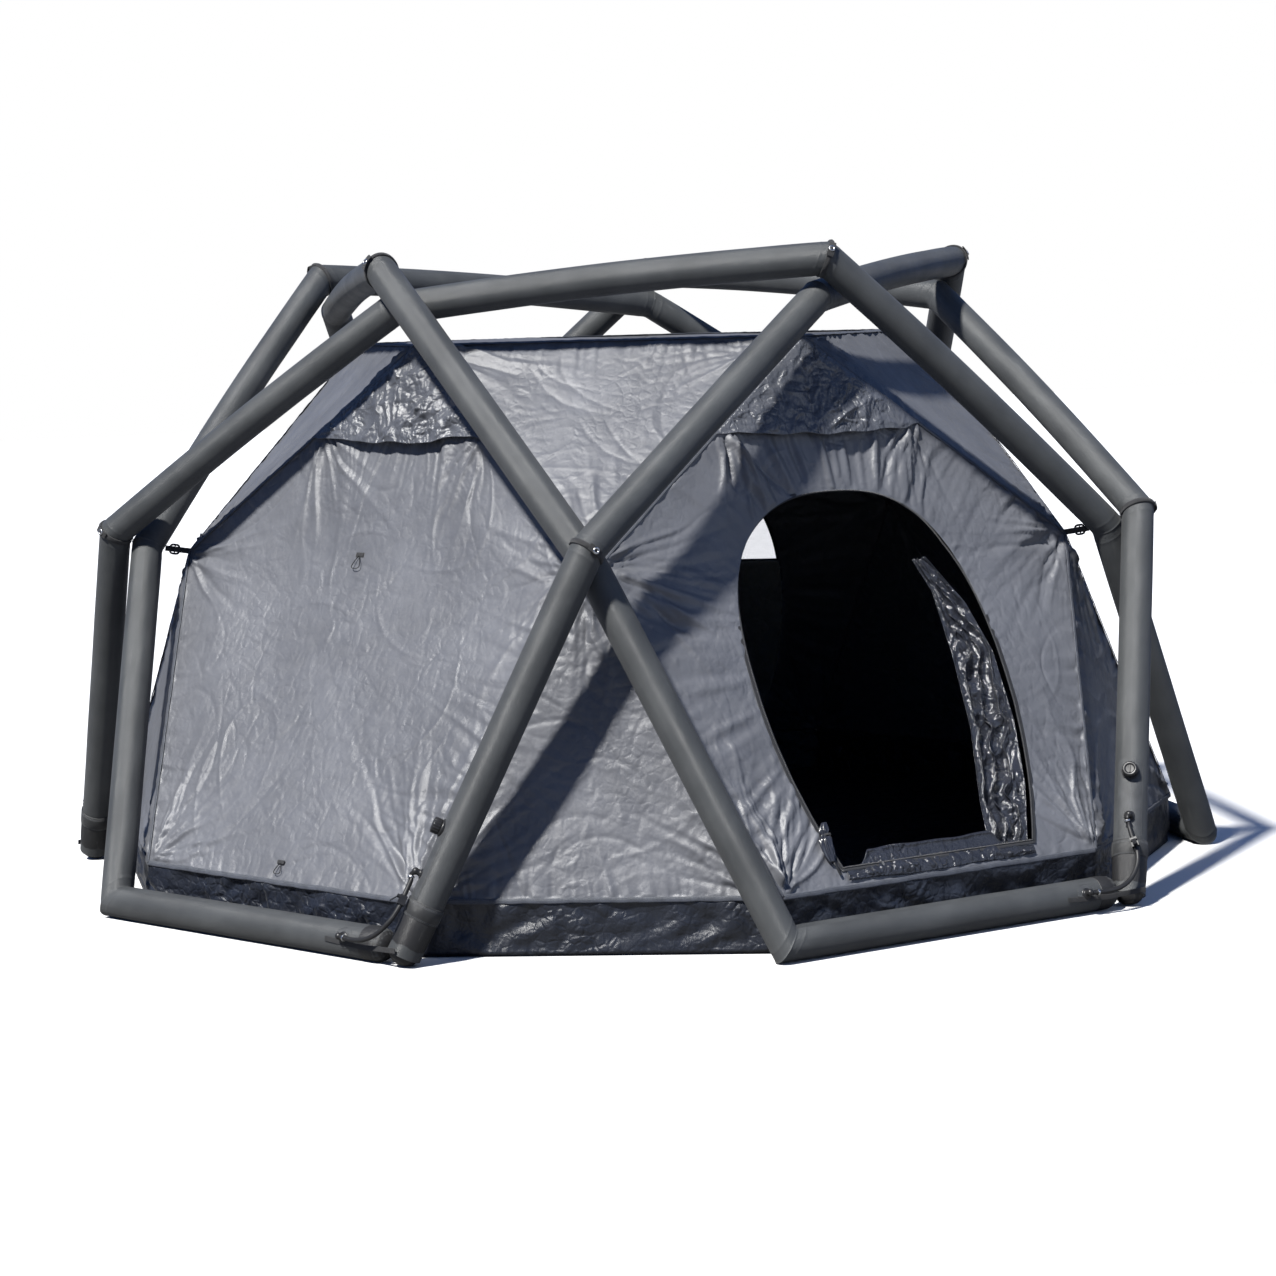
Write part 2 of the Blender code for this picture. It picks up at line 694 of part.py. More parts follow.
def add_door_parts(cloth, metal):
    """The gathered flap on its sewn edge, and the zip slider at the foot of the zip."""
    near, far = FLAP_BEHIND
    bottom, top = (wall_point(x, z, -(near + far) / 2) for x, z in FLAP_HINGE)
    upright = (top - bottom).normalized()
    across = Vector((1, 0, 0))
    place = frame_of(bottom, across - upright * upright.x, upright)
    undo = place.inverted()
    bm = bmesh.new()
    front = [bm.verts.new(undo @ wall_point(x, z, -near)) for x, z in FLAP_OUTLINE]
    back = [bm.verts.new(undo @ wall_point(x, z, -far)) for x, z in FLAP_OUTLINE]
    count = len(front)
    for i in range(count):
        after = (i + 1) % count
        bm.faces.new((front[i], front[after], back[after], back[i]))
    bm.faces.new(front)
    bm.faces.new(back[::-1])
    add("door_flap", mesh_from(bm, "door_flap"), cloth, place)

    lift = SHEET / 2 + GAP + SLIDER_SIZE[2] / 2
    here, there = (wall_point(x, z, lift) for x, z in (SLIDER_AT, SLIDER_TOWARDS))
    run = (there - here).normalized()
    out = wall_normal(SLIDER_AT[1])
    place = frame_of(here, out.cross(run) * -1, out)
    slider = add("zip_slider", block(SLIDER_SIZE, "zip_slider"), metal, place)
    bevel = slider.modifiers.new("Round", "BEVEL")
    bevel.width = 0.0012
    bevel.segments = 1


def build():
    """Builds the whole tent."""
    clear_scene()
    sleeve_cloth = material("sleeve_cloth", (0.060, 0.064, 0.068), 0.62)
    bladder_film = material("bladder_film", (0.55, 0.57, 0.60), 0.35)
    black_plastic = material("black_plastic", (0.015, 0.015, 0.016), 0.38)
    black_rubber = material("black_rubber", (0.014, 0.014, 0.015), 0.50)
    navy_cloth = material("navy_cloth", (0.030, 0.042, 0.075), 0.36)
    floor_cloth = material("floor_cloth", (0.010, 0.014, 0.028), 0.45)
    window_net = material("window_net", (0.030, 0.032, 0.036), 0.75)
    webbing = material("webbing", (0.012, 0.012, 0.013), 0.72)
    slider_metal = material("slider_metal", (0.10, 0.10, 0.11), 0.35, 0.8)
    add_beams(sleeve_cloth, bladder_film)
    add_valves(black_plastic, black_plastic)
    add_hoses(black_rubber, black_plastic, black_plastic)
    add_walls(navy_cloth, window_net)
    add_corner_panels(navy_cloth)
    add_roof(navy_cloth)
    add_hoods(navy_cloth)
    add_floor(floor_cloth)
    add_hangers(webbing)
    add_door_parts(navy_cloth, slider_metal)


build()
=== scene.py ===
"""Looks of the inflatable geodesic dome tent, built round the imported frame.

Metres, +Z up. The entrance faces -Y. Pieces that repeat are made once and turned about Z.
"""

import math

import bpy
import numpy as np
from mathutils import Matrix, Vector


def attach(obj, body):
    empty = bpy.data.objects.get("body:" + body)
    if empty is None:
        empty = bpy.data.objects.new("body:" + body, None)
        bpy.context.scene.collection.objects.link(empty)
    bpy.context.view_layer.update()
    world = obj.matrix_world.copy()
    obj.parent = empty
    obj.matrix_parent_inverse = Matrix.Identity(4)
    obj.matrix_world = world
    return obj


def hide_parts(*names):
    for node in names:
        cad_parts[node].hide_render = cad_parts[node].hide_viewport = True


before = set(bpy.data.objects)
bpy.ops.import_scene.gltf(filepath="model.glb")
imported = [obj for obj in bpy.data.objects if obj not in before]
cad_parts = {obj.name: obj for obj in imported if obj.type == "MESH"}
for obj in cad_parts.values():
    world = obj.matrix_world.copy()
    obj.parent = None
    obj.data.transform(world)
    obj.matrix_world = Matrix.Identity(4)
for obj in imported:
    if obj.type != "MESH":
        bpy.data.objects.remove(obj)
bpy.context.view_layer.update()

# ---------------------------------------------------------------- dimensions, as in the CAD part
FOLD = 5
TURN = 2 * math.pi / FOLD
TUBE_RADIUS = 0.0395
GROUND_RADIUS = 1.460
FOOT_HALF_ANGLE = math.radians(16.5)
CROSS_RADIUS, CROSS_HEIGHT, CROSS_TILT = 1.297, 0.879, math.radians(26)
TOP_RADIUS, TOP_HEIGHT, TOP_TILT = 0.872, 1.479, math.radians(65)
CROSS_OFFSET = TUBE_RADIUS * 1.10
TOP_OFFSET = TUBE_RADIUS * 1.24
FOOT_AXIS_HEIGHT = 0.021
GROUND_END_SPACE = 0.050
VALVE_UP = 0.275
HOSE_UP = 0.165
VALVE_SIDE = (0.42, -0.90, 0.10)
HOSE_RADIUS = 0.0055
HOSE_END_LENGTH = 0.014
HOSE_NIPPLE = (0.160, math.radians(20))
HOSE_ROUTE = (
    (-0.012, 0.012, 0.203),
    (-0.0066, 0.0125, 0.1894),
    (0.0073, 0.0042, 0.1630),
    (0.0233, -0.0033, 0.1368),
    (0.0360, -0.0230, 0.1050),
    (0.0370, -0.0560, 0.0760),
    (0.0300, -0.0900, 0.0610),
    (0.0160, -0.1220, 0.0560),
    (0.0040, -0.1500, 0.0565),
)
APEX_RADIUS, APEX_HEIGHT = 0.787, 1.345
CORNER_RADIUS, CORNER_HEIGHT = 1.153, 0.842
HEM_RADIUS, HEM_HEIGHT = 1.383, 0.126
HEM_HALF_ANGLE = math.radians(17.16)
VENT_HEIGHT = 1.145
HOOD_EDGE_HEIGHT = 1.125
HOOD_STAND, HOOD_LIFT = 0.006, 0.030
DOOR_SILL, DOOR_WIDE, DOOR_TOP = 0.165, 0.550, 0.980
DOOR_HALF_WIDTH, DOOR_SILL_HALF_WIDTH = 0.355, 0.272
DOOR_ARCH_POWER = 2.5
WINDOW_SILL = 0.670
SLIDER_AT, SLIDER_TOWARDS = (-0.296, 0.190), (-0.344, 0.340)
SKIN = 0.0390  # radius of the round sleeve's skin


# ---------------------------------------------------------------- camera, light and floor
def unit(v):
    """A numpy vector of length one."""
    v = np.asarray(v, float)
    return v / np.linalg.norm(v)


def add_camera():
    """Camera at the photograph's height, distance and angle."""
    distance, height = 7.731, 1.404
    azimuth, yaw = math.radians(-31.63), math.radians(-31.67)
    pitch, roll = math.radians(-6.23), math.radians(-1.57)
    level = math.cos(pitch)
    forward = Vector((-math.sin(yaw) * level, math.cos(yaw) * level, math.sin(pitch)))
    right = Vector((math.cos(yaw), math.sin(yaw), 0))
    up = right.cross(forward)
    right, up = right * math.cos(roll) + up * math.sin(roll), up * math.cos(roll) - right * math.sin(roll)
    data = bpy.data.cameras.new("camera")
    data.sensor_width = 36
    data.lens = 83.5
    data.clip_end = 100
    camera = bpy.data.objects.new("camera", data)
    bpy.context.scene.collection.objects.link(camera)
    place = Matrix((right, up, -forward)).transposed().to_4x4()
    place.translation = (distance * math.sin(azimuth), -distance * math.cos(azimuth), height)
    camera.matrix_world = place
    bpy.context.scene.camera = camera


def add_light(name, place, size, power, target=(0, 0, 0.5), colour=(1, 1, 1)):
    """A square area light that looks at the target."""
    data = bpy.data.lights.new(name, "AREA")
    data.shape = "SQUARE"
    data.size = size
    data.energy = power
    data.color = colour
    lamp = bpy.data.objects.new(name, data)
    bpy.context.scene.collection.objects.link(lamp)
    lamp.location = place
    lamp.rotation_euler = (Vector(target) - Vector(place)).to_track_quat("-Z", "Y").to_euler()


def add_studio():
    """Pale floor, pale surroundings, a soft high light from the left and a weak fill."""
    world = bpy.data.worlds.new("studio")
    world.use_nodes = True
    tree = world.node_tree
    dim = tree.nodes["Background"]
    dim.inputs["Color"].default_value = (0.22, 0.42, 1.0, 1)
    dim.inputs["Strength"].default_value = 0.26
    pale = tree.nodes.new("ShaderNodeBackground")
    pale.inputs["Color"].default_value = (1.0, 1.0, 1.0, 1)
    pale.inputs["Strength"].default_value = 1.0
    seen = tree.nodes.new("ShaderNodeLightPath")
    both = tree.nodes.new("ShaderNodeMixShader")
    tree.links.new(seen.outputs["Is Camera Ray"], both.inputs["Fac"])
    tree.links.new(dim.outputs[0], both.inputs[1])
    tree.links.new(pale.outputs[0], both.inputs[2])
    tree.links.new(both.outputs[0], tree.nodes["World Output"].inputs["Surface"])
    bpy.context.scene.world = world
    bpy.context.scene.view_settings.view_transform = "Standard"
    data = bpy.data.lights.new("key_light", "SUN")
    data.energy = 6.9
    data.angle = math.radians(4.0)
    data.color = (1.0, 0.985, 0.95)
    lamp = bpy.data.objects.new("key_light", data)
    bpy.context.scene.collection.objects.link(lamp)
    lamp.rotation_euler = Vector((-4.0, -1.5, 5.5)).to_track_quat("Z", "Y").to_euler()
    add_light("fill_light", (3.5, -6.5, 2.6), 3.0, 45, colour=(0.85, 0.92, 1.0))
    mesh = bpy.data.meshes.new("floor")
    half = 30.0
    mesh.from_pydata([(-half, -half, 0), (half, -half, 0), (half, half, 0), (-half, half, 0)], [],
                     [(0, 1, 2, 3)])
    floor = bpy.data.objects.new("floor", mesh)
    floor.location.z = -0.0005
    bpy.context.scene.collection.objects.link(floor)
    plain = bpy.data.materials.new("floor_paint")
    plain.use_nodes = True
    tree = plain.node_tree
    shader = tree.nodes["Principled BSDF"]
    shader.inputs["Roughness"].default_value = 0.95
    seen = tree.nodes.new("ShaderNodeLightPath")
    tone = tree.nodes.new("ShaderNodeMix")
    tone.data_type = "RGBA"
    tone.inputs[6].default_value = (0.13, 0.13, 0.13, 1)
    tone.inputs[7].default_value = (0.82, 0.82, 0.82, 1)
    tree.links.new(seen.outputs["Is Camera Ray"], tone.inputs["Factor"])
    tree.links.new(tone.outputs[2], shader.inputs["Base Color"])
    mesh.materials.append(plain)


# ---------------------------------------------------------------- frame geometry, as in the CAD part
def polar(radius, angle, height):
    """The point at an angle round the tent's middle."""
    return Vector((radius * math.cos(angle), radius * math.sin(angle), height))


def cross_angle(index):
    """Where the frame's crossing number index stands; 0 is left of the entrance."""
    return math.radians(-126) + TURN * index


def wall_angle(index):
    """Where side wall number index faces; 0 is the entrance wall."""
    return math.radians(-90) + TURN * index


def turned(index):
    """The turn that takes piece 0 of a set of five to piece number index."""
    return Matrix.Rotation(TURN * index, 4, "Z")


def frame_of(origin, x_axis, z_axis):
    """A placement with its X along x_axis and its Z near z_axis."""
    x = x_axis.normalized()
    z = (z_axis - x * z_axis.dot(x)).normalized()
    y = z.cross(x)
    return Matrix.Translation(origin) @ Matrix((x, y, z)).transposed().to_4x4()


def side_strand(angle, side):
    """Centre of the outer (+1) or inner (-1) tube where two beams cross on a side."""
    out = polar(math.cos(CROSS_TILT), angle, math.sin(CROSS_TILT))
    return polar(CROSS_RADIUS, angle, CROSS_HEIGHT) + out * CROSS_OFFSET * side


def top_strand(angle, side):
    """The same at a corner of the top ring."""
    out = polar(math.cos(TOP_TILT), angle, math.sin(TOP_TILT))
    return polar(TOP_RADIUS, angle, TOP_HEIGHT) + out * TOP_OFFSET * side


def foot_vertex(index):
    """Where the starting leg of beam number index meets the ground tube's level."""
    return polar(GROUND_RADIUS, cross_angle(index) - FOOT_HALF_ANGLE, TUBE_RADIUS)


def beam_points(index=0):
    """Centre line of one beam: up, over, under, over, under, down and along the ground."""
    start = cross_angle(index)
    first = side_strand(start, 1)
    foot = foot_vertex(index)
    leg = (foot - first).normalized()
    foot_end = foot + leg * ((FOOT_AXIS_HEIGHT - foot.z) / leg.z)
    landing = start + 2 * TURN
    corner = polar(GROUND_RADIUS, landing + FOOT_HALF_ANGLE, TUBE_RADIUS)
    next_foot = foot_vertex(index + 3)
    ground = (next_foot - corner).normalized()
    return [
        foot_end,
        first,
        top_strand(start + TURN / 2, -1),
        top_strand(start + 3 * TURN / 2, 1),
        side_strand(landing, -1),
        corner,
        next_foot - ground * GROUND_END_SPACE,
    ]


def foot_axes(index=0):
    """Outward and sideways directions at a foot."""
    angle = cross_angle(index) - FOOT_HALF_ANGLE
    return polar(1, angle, 0), polar(1, angle + math.pi / 2, 0)


def foot_point(out, side, up):
    """A point given from foot 0 as outward, sideways and height."""
    outward, sideways = foot_axes()
    base = foot_vertex(0)
    return Vector((base.x, base.y, 0)) + outward * out + sideways * side + Vector((0, 0, up))


def leg_axis():
    """Direction of leg 0, upwards."""
    points = beam_points()
    return (points[1] - points[0]).normalized()


def valve_direction():
    """Square to leg 0, towards the side where its valve and hose stand."""
    outward, sideways = foot_axes()
    towards = outward * VALVE_SIDE[0] + sideways * VALVE_SIDE[1] + Vector((0, 0, VALVE_SIDE[2]))
    along = leg_axis()
    return (towards - along * towards.dot(along)).normalized()


def valve_frame(up=VALVE_UP):
    """Placement on leg 0's skin: Z straight out of the valve, X up the leg."""
    out = valve_direction()
    origin = foot_vertex(0) + leg_axis() * up + out * TUBE_RADIUS * math.cos(math.pi / 12)
    return frame_of(origin, leg_axis(), out)


# ---------------------------------------------------------------- mesh helpers
def put(name, verts, faces, finish, body="tent", uv=None, smooth=True, sharp=None):
    """A mesh piece that rides on a body. uv is a list of one (u, v) for each face corner."""
    mesh = bpy.data.meshes.new(name)
    mesh.from_pydata([tuple(v) for v in np.asarray(verts, float)], [],
                     [tuple(int(i) for i in f) for f in faces])
    if uv is not None:
        layer = mesh.uv_layers.new(name="UVMap")
        layer.data.foreach_set("uv", np.asarray(uv, np.float32).ravel())
    mesh.validate(clean_customdata=False)
    mesh.materials.append(finish)
    if smooth:
        mesh.shade_smooth()
        if sharp is not None:
            mesh.set_sharp_from_angle(angle=math.radians(sharp))
    made = bpy.data.objects.new(name, mesh)
    bpy.context.scene.collection.objects.link(made)
    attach(made, body)
    return made


def copy_of(piece, name, matrix, body="tent"):
    """Another object whose mesh is the piece's, turned by the matrix."""
    mesh = piece.data.copy()
    mesh.transform(matrix)
    made = bpy.data.objects.new(name, mesh)
    bpy.context.scene.collection.objects.link(made)
    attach(made, body)
    return made


def five(base, make, body=None, after=None):
    """Makes piece base_1 with make(name) and turns four copies of it. body gives each number's body."""
    made = []
    for index in range(FOLD):
        number = index + 1
        rides = body.format(number) if body else "tent"
        name = f"{base}_{number}"
        if index == 0:
            piece = make(name)
            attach(piece, rides)
        else:
            piece = copy_of(made[0], name, turned(index), rides)
        made.append(piece)
        if after:
            after(piece, number)
    return made


def grid(rows, columns, wrap=False):
    """Faces of a rows x columns grid of points; wrap joins the last column to the first."""
    r = np.arange(rows - 1)[:, None]
    c = np.arange(columns if wrap else columns - 1)[None, :]
    after = (c + 1) % columns
    faces = np.stack([r * columns + c, r * columns + after, (r + 1) * columns + after,
                      (r + 1) * columns + c], -1)
    return faces.reshape(-1, 4)


def grid_uv(u, v, wrap_u=None):
    """Face-corner UVs for grid(): u for each column and v for each row, or arrays of the grid's size."""
    u, v = np.broadcast_arrays(np.asarray(u, float), np.asarray(v, float)[:, None] if np.ndim(v) == 1 else v)
    if wrap_u is not None:
        u = np.concatenate([u, u[:, :1] + wrap_u], 1)
        v = np.concatenate([v, v[:, :1]], 1)
    uv = np.stack([u, v], -1)
    return np.stack([uv[:-1, :-1], uv[:-1, 1:], uv[1:, 1:], uv[1:, :-1]], 2).reshape(-1, 2)


def thicken(piece, thickness, offset=-1.0):
    """Gives a sheet its thickness."""
    step = piece.modifiers.new("Thickness", "SOLIDIFY")
    step.thickness = thickness
    step.offset = offset


def smooth_step(x, low, high):
    """0 below low, 1 above high and smooth between."""
    t = np.clip((x - low) / (high - low), 0, 1)
    return t * t * (3 - 2 * t)


def wave(x, seed):
    """Smooth random numbers from -1 to 1, with one knot at each whole x."""
    table = np.random.default_rng(seed).uniform(-1, 1, 512)
    x = np.asarray(x, float)
    low = np.floor(x).astype(int)
    t = x - low
    t = t * t * (3 - 2 * t)
    return table[low % 512] * (1 - t) + table[(low + 1) % 512] * t


def wave2(x, y, seed):
    """Smooth random numbers from -1 to 1 over a plane."""
    table = np.random.default_rng(seed).uniform(-1, 1, (128, 128))
    ix, iy = np.floor(x).astype(int), np.floor(y).astype(int)
    tx, ty = x - ix, y - iy
    tx, ty = tx * tx * (3 - 2 * tx), ty * ty * (3 - 2 * ty)
    a, b = table[ix % 128, iy % 128], table[(ix + 1) % 128, iy % 128]
    c, d = table[ix % 128, (iy + 1) % 128], table[(ix + 1) % 128, (iy + 1) % 128]
    return (a * (1 - tx) + b * tx) * (1 - ty) + (c * (1 - tx) + d * tx) * ty


class Tube:
    """A mitred tube along straight runs; gives the rings of its skin."""

    def __init__(self, points, first_side, sides):
        self.points = [np.array(p, float) for p in points]
        self.runs = [unit(b - a) for a, b in zip(self.points, self.points[1:])]
        self.lengths = [np.linalg.norm(b - a) for a, b in zip(self.points, self.points[1:])]
        self.angles = 2 * math.pi * np.arange(sides) / sides
        side = Vector(first_side)
        self.sides = []
        for i, run in enumerate(self.runs):
            if i:
                side = Vector(self.runs[i - 1]).rotation_difference(Vector(run)) @ side
            side = (side - Vector(run) * side.dot(Vector(run))).normalized()
            self.sides.append(np.array(side))

    def spokes(self, run, angles=None):
        """Outward directions round a run."""
        angles = self.angles if angles is None else angles
        up = np.cross(self.runs[run], self.sides[run])
        return np.cos(angles)[:, None] * self.sides[run] + np.sin(angles)[:, None] * up

    def cut(self, run, end):
        """Normal of the plane that cuts a run off at its start (0) or its end (1)."""
        other = run - 1 if end == 0 else run + 1
        if other < 0 or other >= len(self.runs):
            return self.runs[run]
        return unit(self.runs[run] + self.runs[other])

    def ring(self, run, distance, radius, angles=None, from_end=False):
        """Points on the skin a distance along a run from its start or its end."""
        spokes = self.spokes(run, angles)
        way = self.runs[run]
        reach = np.broadcast_to(np.asarray(radius, float), (len(spokes),))[:, None]
        ends = []
        for end in (0, 1):
            plane = self.cut(run, end)
            slide = (spokes @ plane)[:, None] * reach / (way @ plane)
            ends.append(self.points[run + end] + spokes * reach - way * slide)
        share = distance / self.lengths[run]
        if from_end:
            share = 1 - share
        return ends[0] + (ends[1] - ends[0]) * share


def swept(path, profile, side, closed=False):
    """A bar along the path: the profile is (across, out) points, and side gives each point's out direction."""
    path = np.asarray(path, float)
    count = len(path)
    side = np.broadcast_to(np.asarray(side, float), (count, 3))
    before = np.roll(path, 1, 0)
    after = np.roll(path, -1, 0)
    if not closed:
        before[0], after[-1] = path[0], path[-1]
    along = after - before
    along /= np.linalg.norm(along, axis=1)[:, None]
    out = side - along * (side * along).sum(1)[:, None]
    out /= np.linalg.norm(out, axis=1)[:, None]
    across = np.cross(along, out)
    profile = np.asarray(profile, float)
    if profile.ndim == 2:
        profile = np.broadcast_to(profile, (count, *profile.shape))
    verts = path[:, None, :] + across[:, None, :] * profile[..., :1] + out[:, None, :] * profile[..., 1:]
    steps = profile.shape[1]
    length = np.concatenate([[0], np.cumsum(np.linalg.norm(np.diff(path, axis=0), axis=1))])
    girth = np.linalg.norm(np.diff(np.concatenate([profile[0], profile[0][:1]]), axis=0), axis=1)
    u = np.concatenate([[0], np.cumsum(girth)])
    v = length
    if closed:
        verts = np.concatenate([verts, verts[:1]])
        v = np.append(v, length[-1] + np.linalg.norm(path[0] - path[-1]))
    rows = len(verts)
    faces = grid(rows, steps, wrap=True)
    uv = grid_uv(u[:-1], v, wrap_u=u[-1])
    verts = verts.reshape(-1, 3)
    if closed:
        faces = np.where(faces >= (rows - 1) * steps, faces - (rows - 1) * steps, faces)
        verts = verts[: (rows - 1) * steps]
        return verts, [tuple(f) for f in faces], uv
    faces = [tuple(f) for f in faces] + [tuple(range(steps))[::-1],
                                         tuple(range((rows - 1) * steps, rows * steps))]
    uv = np.concatenate([uv, np.zeros((2 * steps, 2))])
    return verts, faces, uv


def round_profile(radius, steps=10):
    """Cross-section of a round bar."""
    angles = -2 * math.pi * np.arange(steps) / steps
    return np.stack([np.cos(angles) * radius, np.sin(angles) * radius], 1)


def strap_profile(width, thickness, crown=0.0):
    """Cross-section of a flat strap that lies on its path, with soft edges."""
    half, edge = width / 2, thickness * 0.5
    top = [(half - edge * 0.6, thickness), (half * 0.5, thickness + crown * 0.7), (0, thickness + crown)]
    right = [(half, edge), *top]
    left = [(-x, z) for x, z in reversed(right[:-1])]
    return np.array([(half - edge * 0.6, 0), *right, *left, (-half + edge * 0.6, 0)])[::-1]


def joined(parts):
    """Several (verts, faces, uv) as one."""
    verts, faces, uv, base = [], [], [], 0
    for v, f, t in parts:
        verts.append(np.asarray(v, float))
        faces += [tuple(int(i) + base for i in face) for face in f]
        uv.append(np.asarray(t, float))
        base += len(v)
    return np.concatenate(verts), faces, np.concatenate(uv)


def lathed(profile, steps=32, wobble=None):
    """Turns (radius, height) points about Z. wobble(angle, radius, height) changes the radius."""
    angles = 2 * math.pi * np.arange(steps) / steps
    verts, rows = [], []
    for radius, height in profile:
        if radius == 0:
            rows.append([len(verts)])
            verts.append((0, 0, height))
            continue
        rows.append(list(range(len(verts), len(verts) + steps)))
        for angle in angles:
            r = radius if wobble is None else wobble(angle, radius, height)
            verts.append((r * math.cos(angle), r * math.sin(angle), height))
    faces, uv, run = [], [], 0.0
    loop = rows[1:] + rows[:1] if profile[0][0] > 0 else rows[1:]
    for i, (low, high) in enumerate(zip(rows, loop)):
        after_profile = profile[(i + 1) % len(profile)]
        step = math.dist(profile[i], after_profile)
        for k in range(steps):
            n = (k + 1) % steps
            corners = [low[k % len(low)], low[n % len(low)], high[n % len(high)], high[k % len(high)]]
            face = list(dict.fromkeys(corners))
            faces.append(tuple(face))
            u0, u1 = k / steps * 0.1, (k + 1) / steps * 0.1
            full = [(u0, run), (u1, run), (u1, run + step), (u0, run + step)]
            uv += [full[corners.index(c)] for c in face]
        run += step
    return np.array(verts), faces, np.array(uv)


def placed(part, matrix):
    """(verts, faces, uv) moved by a matrix."""
    verts, faces, uv = part
    m = np.array(matrix)
    return np.asarray(verts) @ m[:3, :3].T + m[:3, 3], faces, uv


def stitches(path, out, pitch=0.0045, length=0.0028, radius=0.00035):
    """Short raised threads along a path; out is each point's outward direction."""
    path = np.asarray(path, float)
    out = np.broadcast_to(np.asarray(out, float), path.shape)
    along = np.concatenate([[0], np.cumsum(np.linalg.norm(np.diff(path, axis=0), axis=1))])
    parts = []
    for start in np.arange(pitch / 2, along[-1] - length, pitch):
        at = np.array([start, start + length / 2, start + length])
        line = np.stack([np.interp(at, along, path[:, k]) for k in range(3)], 1)
        lift = np.stack([np.interp(at, along, out[:, k]) for k in range(3)], 1)
        line = line + lift * np.array([[0], [radius * 0.7], [0]])
        parts.append(swept(line, round_profile(radius, 5), lift))
    return joined(parts)


# ---------------------------------------------------------------- materials
class Finish:
    """A Principled material whose detail nodes are added by short calls."""

    def __init__(self, name, colour, roughness, coords="UV", **fixed):
        self.material = bpy.data.materials.new(name)
        self.material.use_nodes = True
        self.tree = self.material.node_tree
        self.shader = self.tree.nodes["Principled BSDF"]
        self.shader.inputs["Base Color"].default_value = (*colour, 1)
        self.shader.inputs["Roughness"].default_value = roughness
        for key, value in fixed.items():
            self.shader.inputs[key.replace("_", " ")].default_value = value
        self.colour = colour
        self.coords = self.tree.nodes.new("ShaderNodeTexCoord").outputs[coords]
        self.normal = None

    def put(self, value, socket):
        """Links a socket, or sets a plain number."""
        if hasattr(value, "is_linked"):
            self.tree.links.new(value, socket)
        else:
            socket.default_value = value

    def maths(self, operation, a, b=0.0, c=None):
        node = self.tree.nodes.new("ShaderNodeMath")
        node.operation = operation
        self.put(a, node.inputs[0])
        self.put(b, node.inputs[1])
        if c is not None:
            self.put(c, node.inputs[2])
        return node.outputs[0]

    def split(self):
        """The u and v coordinates."""
        node = self.tree.nodes.new("ShaderNodeSeparateXYZ")
        self.tree.links.new(self.coords, node.inputs[0])
        return node.outputs[0], node.outputs[1]

    def stretched(self, scale, where=None):
        """The coordinates times a scale for each axis."""
        node = self.tree.nodes.new("ShaderNodeVectorMath")
        node.operation = "MULTIPLY"
        self.tree.links.new(where or self.coords, node.inputs[0])
        node.inputs[1].default_value = scale
        return node.outputs[0]

    def bent(self, scale, amount, where=None):
        """The coordinates pushed about by a noise."""
        noise = self.tree.nodes.new("ShaderNodeTexNoise")
        noise.inputs["Scale"].default_value = scale
        noise.inputs["Detail"].default_value = 2
        self.tree.links.new(where or self.coords, noise.inputs["Vector"])
        middle = self.tree.nodes.new("ShaderNodeVectorMath")
        middle.operation = "MULTIPLY_ADD"
        self.tree.links.new(noise.outputs["Color"], middle.inputs[0])
        middle.inputs[1].default_value = (amount,) * 3
        self.tree.links.new(where or self.coords, middle.inputs[2])
        return middle.outputs[0]

    def noise(self, scale, detail=2.0, rough=0.5, where=None):
        node = self.tree.nodes.new("ShaderNodeTexNoise")
        node.inputs["Scale"].default_value = scale
        node.inputs["Detail"].default_value = detail
        node.inputs["Roughness"].default_value = rough
        self.tree.links.new(where or self.coords, node.inputs["Vector"])
        return node.outputs["Fac"]

    def cells(self, scale, where=None, feature="DISTANCE_TO_EDGE"):
        node = self.tree.nodes.new("ShaderNodeTexVoronoi")
        node.feature = feature
        node.inputs["Scale"].default_value = scale
        self.tree.links.new(where or self.coords, node.inputs["Vector"])
        return node.outputs["Distance"]

    def span(self, value, low, high, to_low=0.0, to_high=1.0, smooth=True):
        node = self.tree.nodes.new("ShaderNodeMapRange")
        node.interpolation_type = "SMOOTHSTEP" if smooth else "LINEAR"
        for key, number in (("From Min", low), ("From Max", high), ("To Min", to_low), ("To Max", to_high)):
            node.inputs[key].default_value = number
        self.tree.links.new(value, node.inputs["Value"])
        return node.outputs["Result"]

    def mix_colour(self, factor, first, second):
        """Blends two colours, or a colour socket and a colour, by a factor socket."""
        node = self.tree.nodes.new("ShaderNodeMix")
        node.data_type = "RGBA"
        self.put(factor, node.inputs["Factor"])
        for value, key in ((first, 6), (second, 7)):
            if hasattr(value, "is_linked"):
                self.tree.links.new(value, node.inputs[key])
            else:
                node.inputs[key].default_value = (*value, 1)
        return node.outputs[2]

    def tint(self, colour):
        self.tree.links.new(colour, self.shader.inputs["Base Color"])

    def rough(self, value):
        self.tree.links.new(value, self.shader.inputs["Roughness"])

    def bump(self, height, distance, strength=1.0):
        """Adds a relief of that depth in metres on top of the ones before."""
        node = self.tree.nodes.new("ShaderNodeBump")
        node.inputs["Strength"].default_value = strength
        node.inputs["Distance"].default_value = distance
        self.tree.links.new(height, node.inputs["Height"])
        if self.normal is not None:
            self.tree.links.new(self.normal, node.inputs["Normal"])
        self.normal = node.outputs["Normal"]
        self.tree.links.new(self.normal, self.shader.inputs["Normal"])

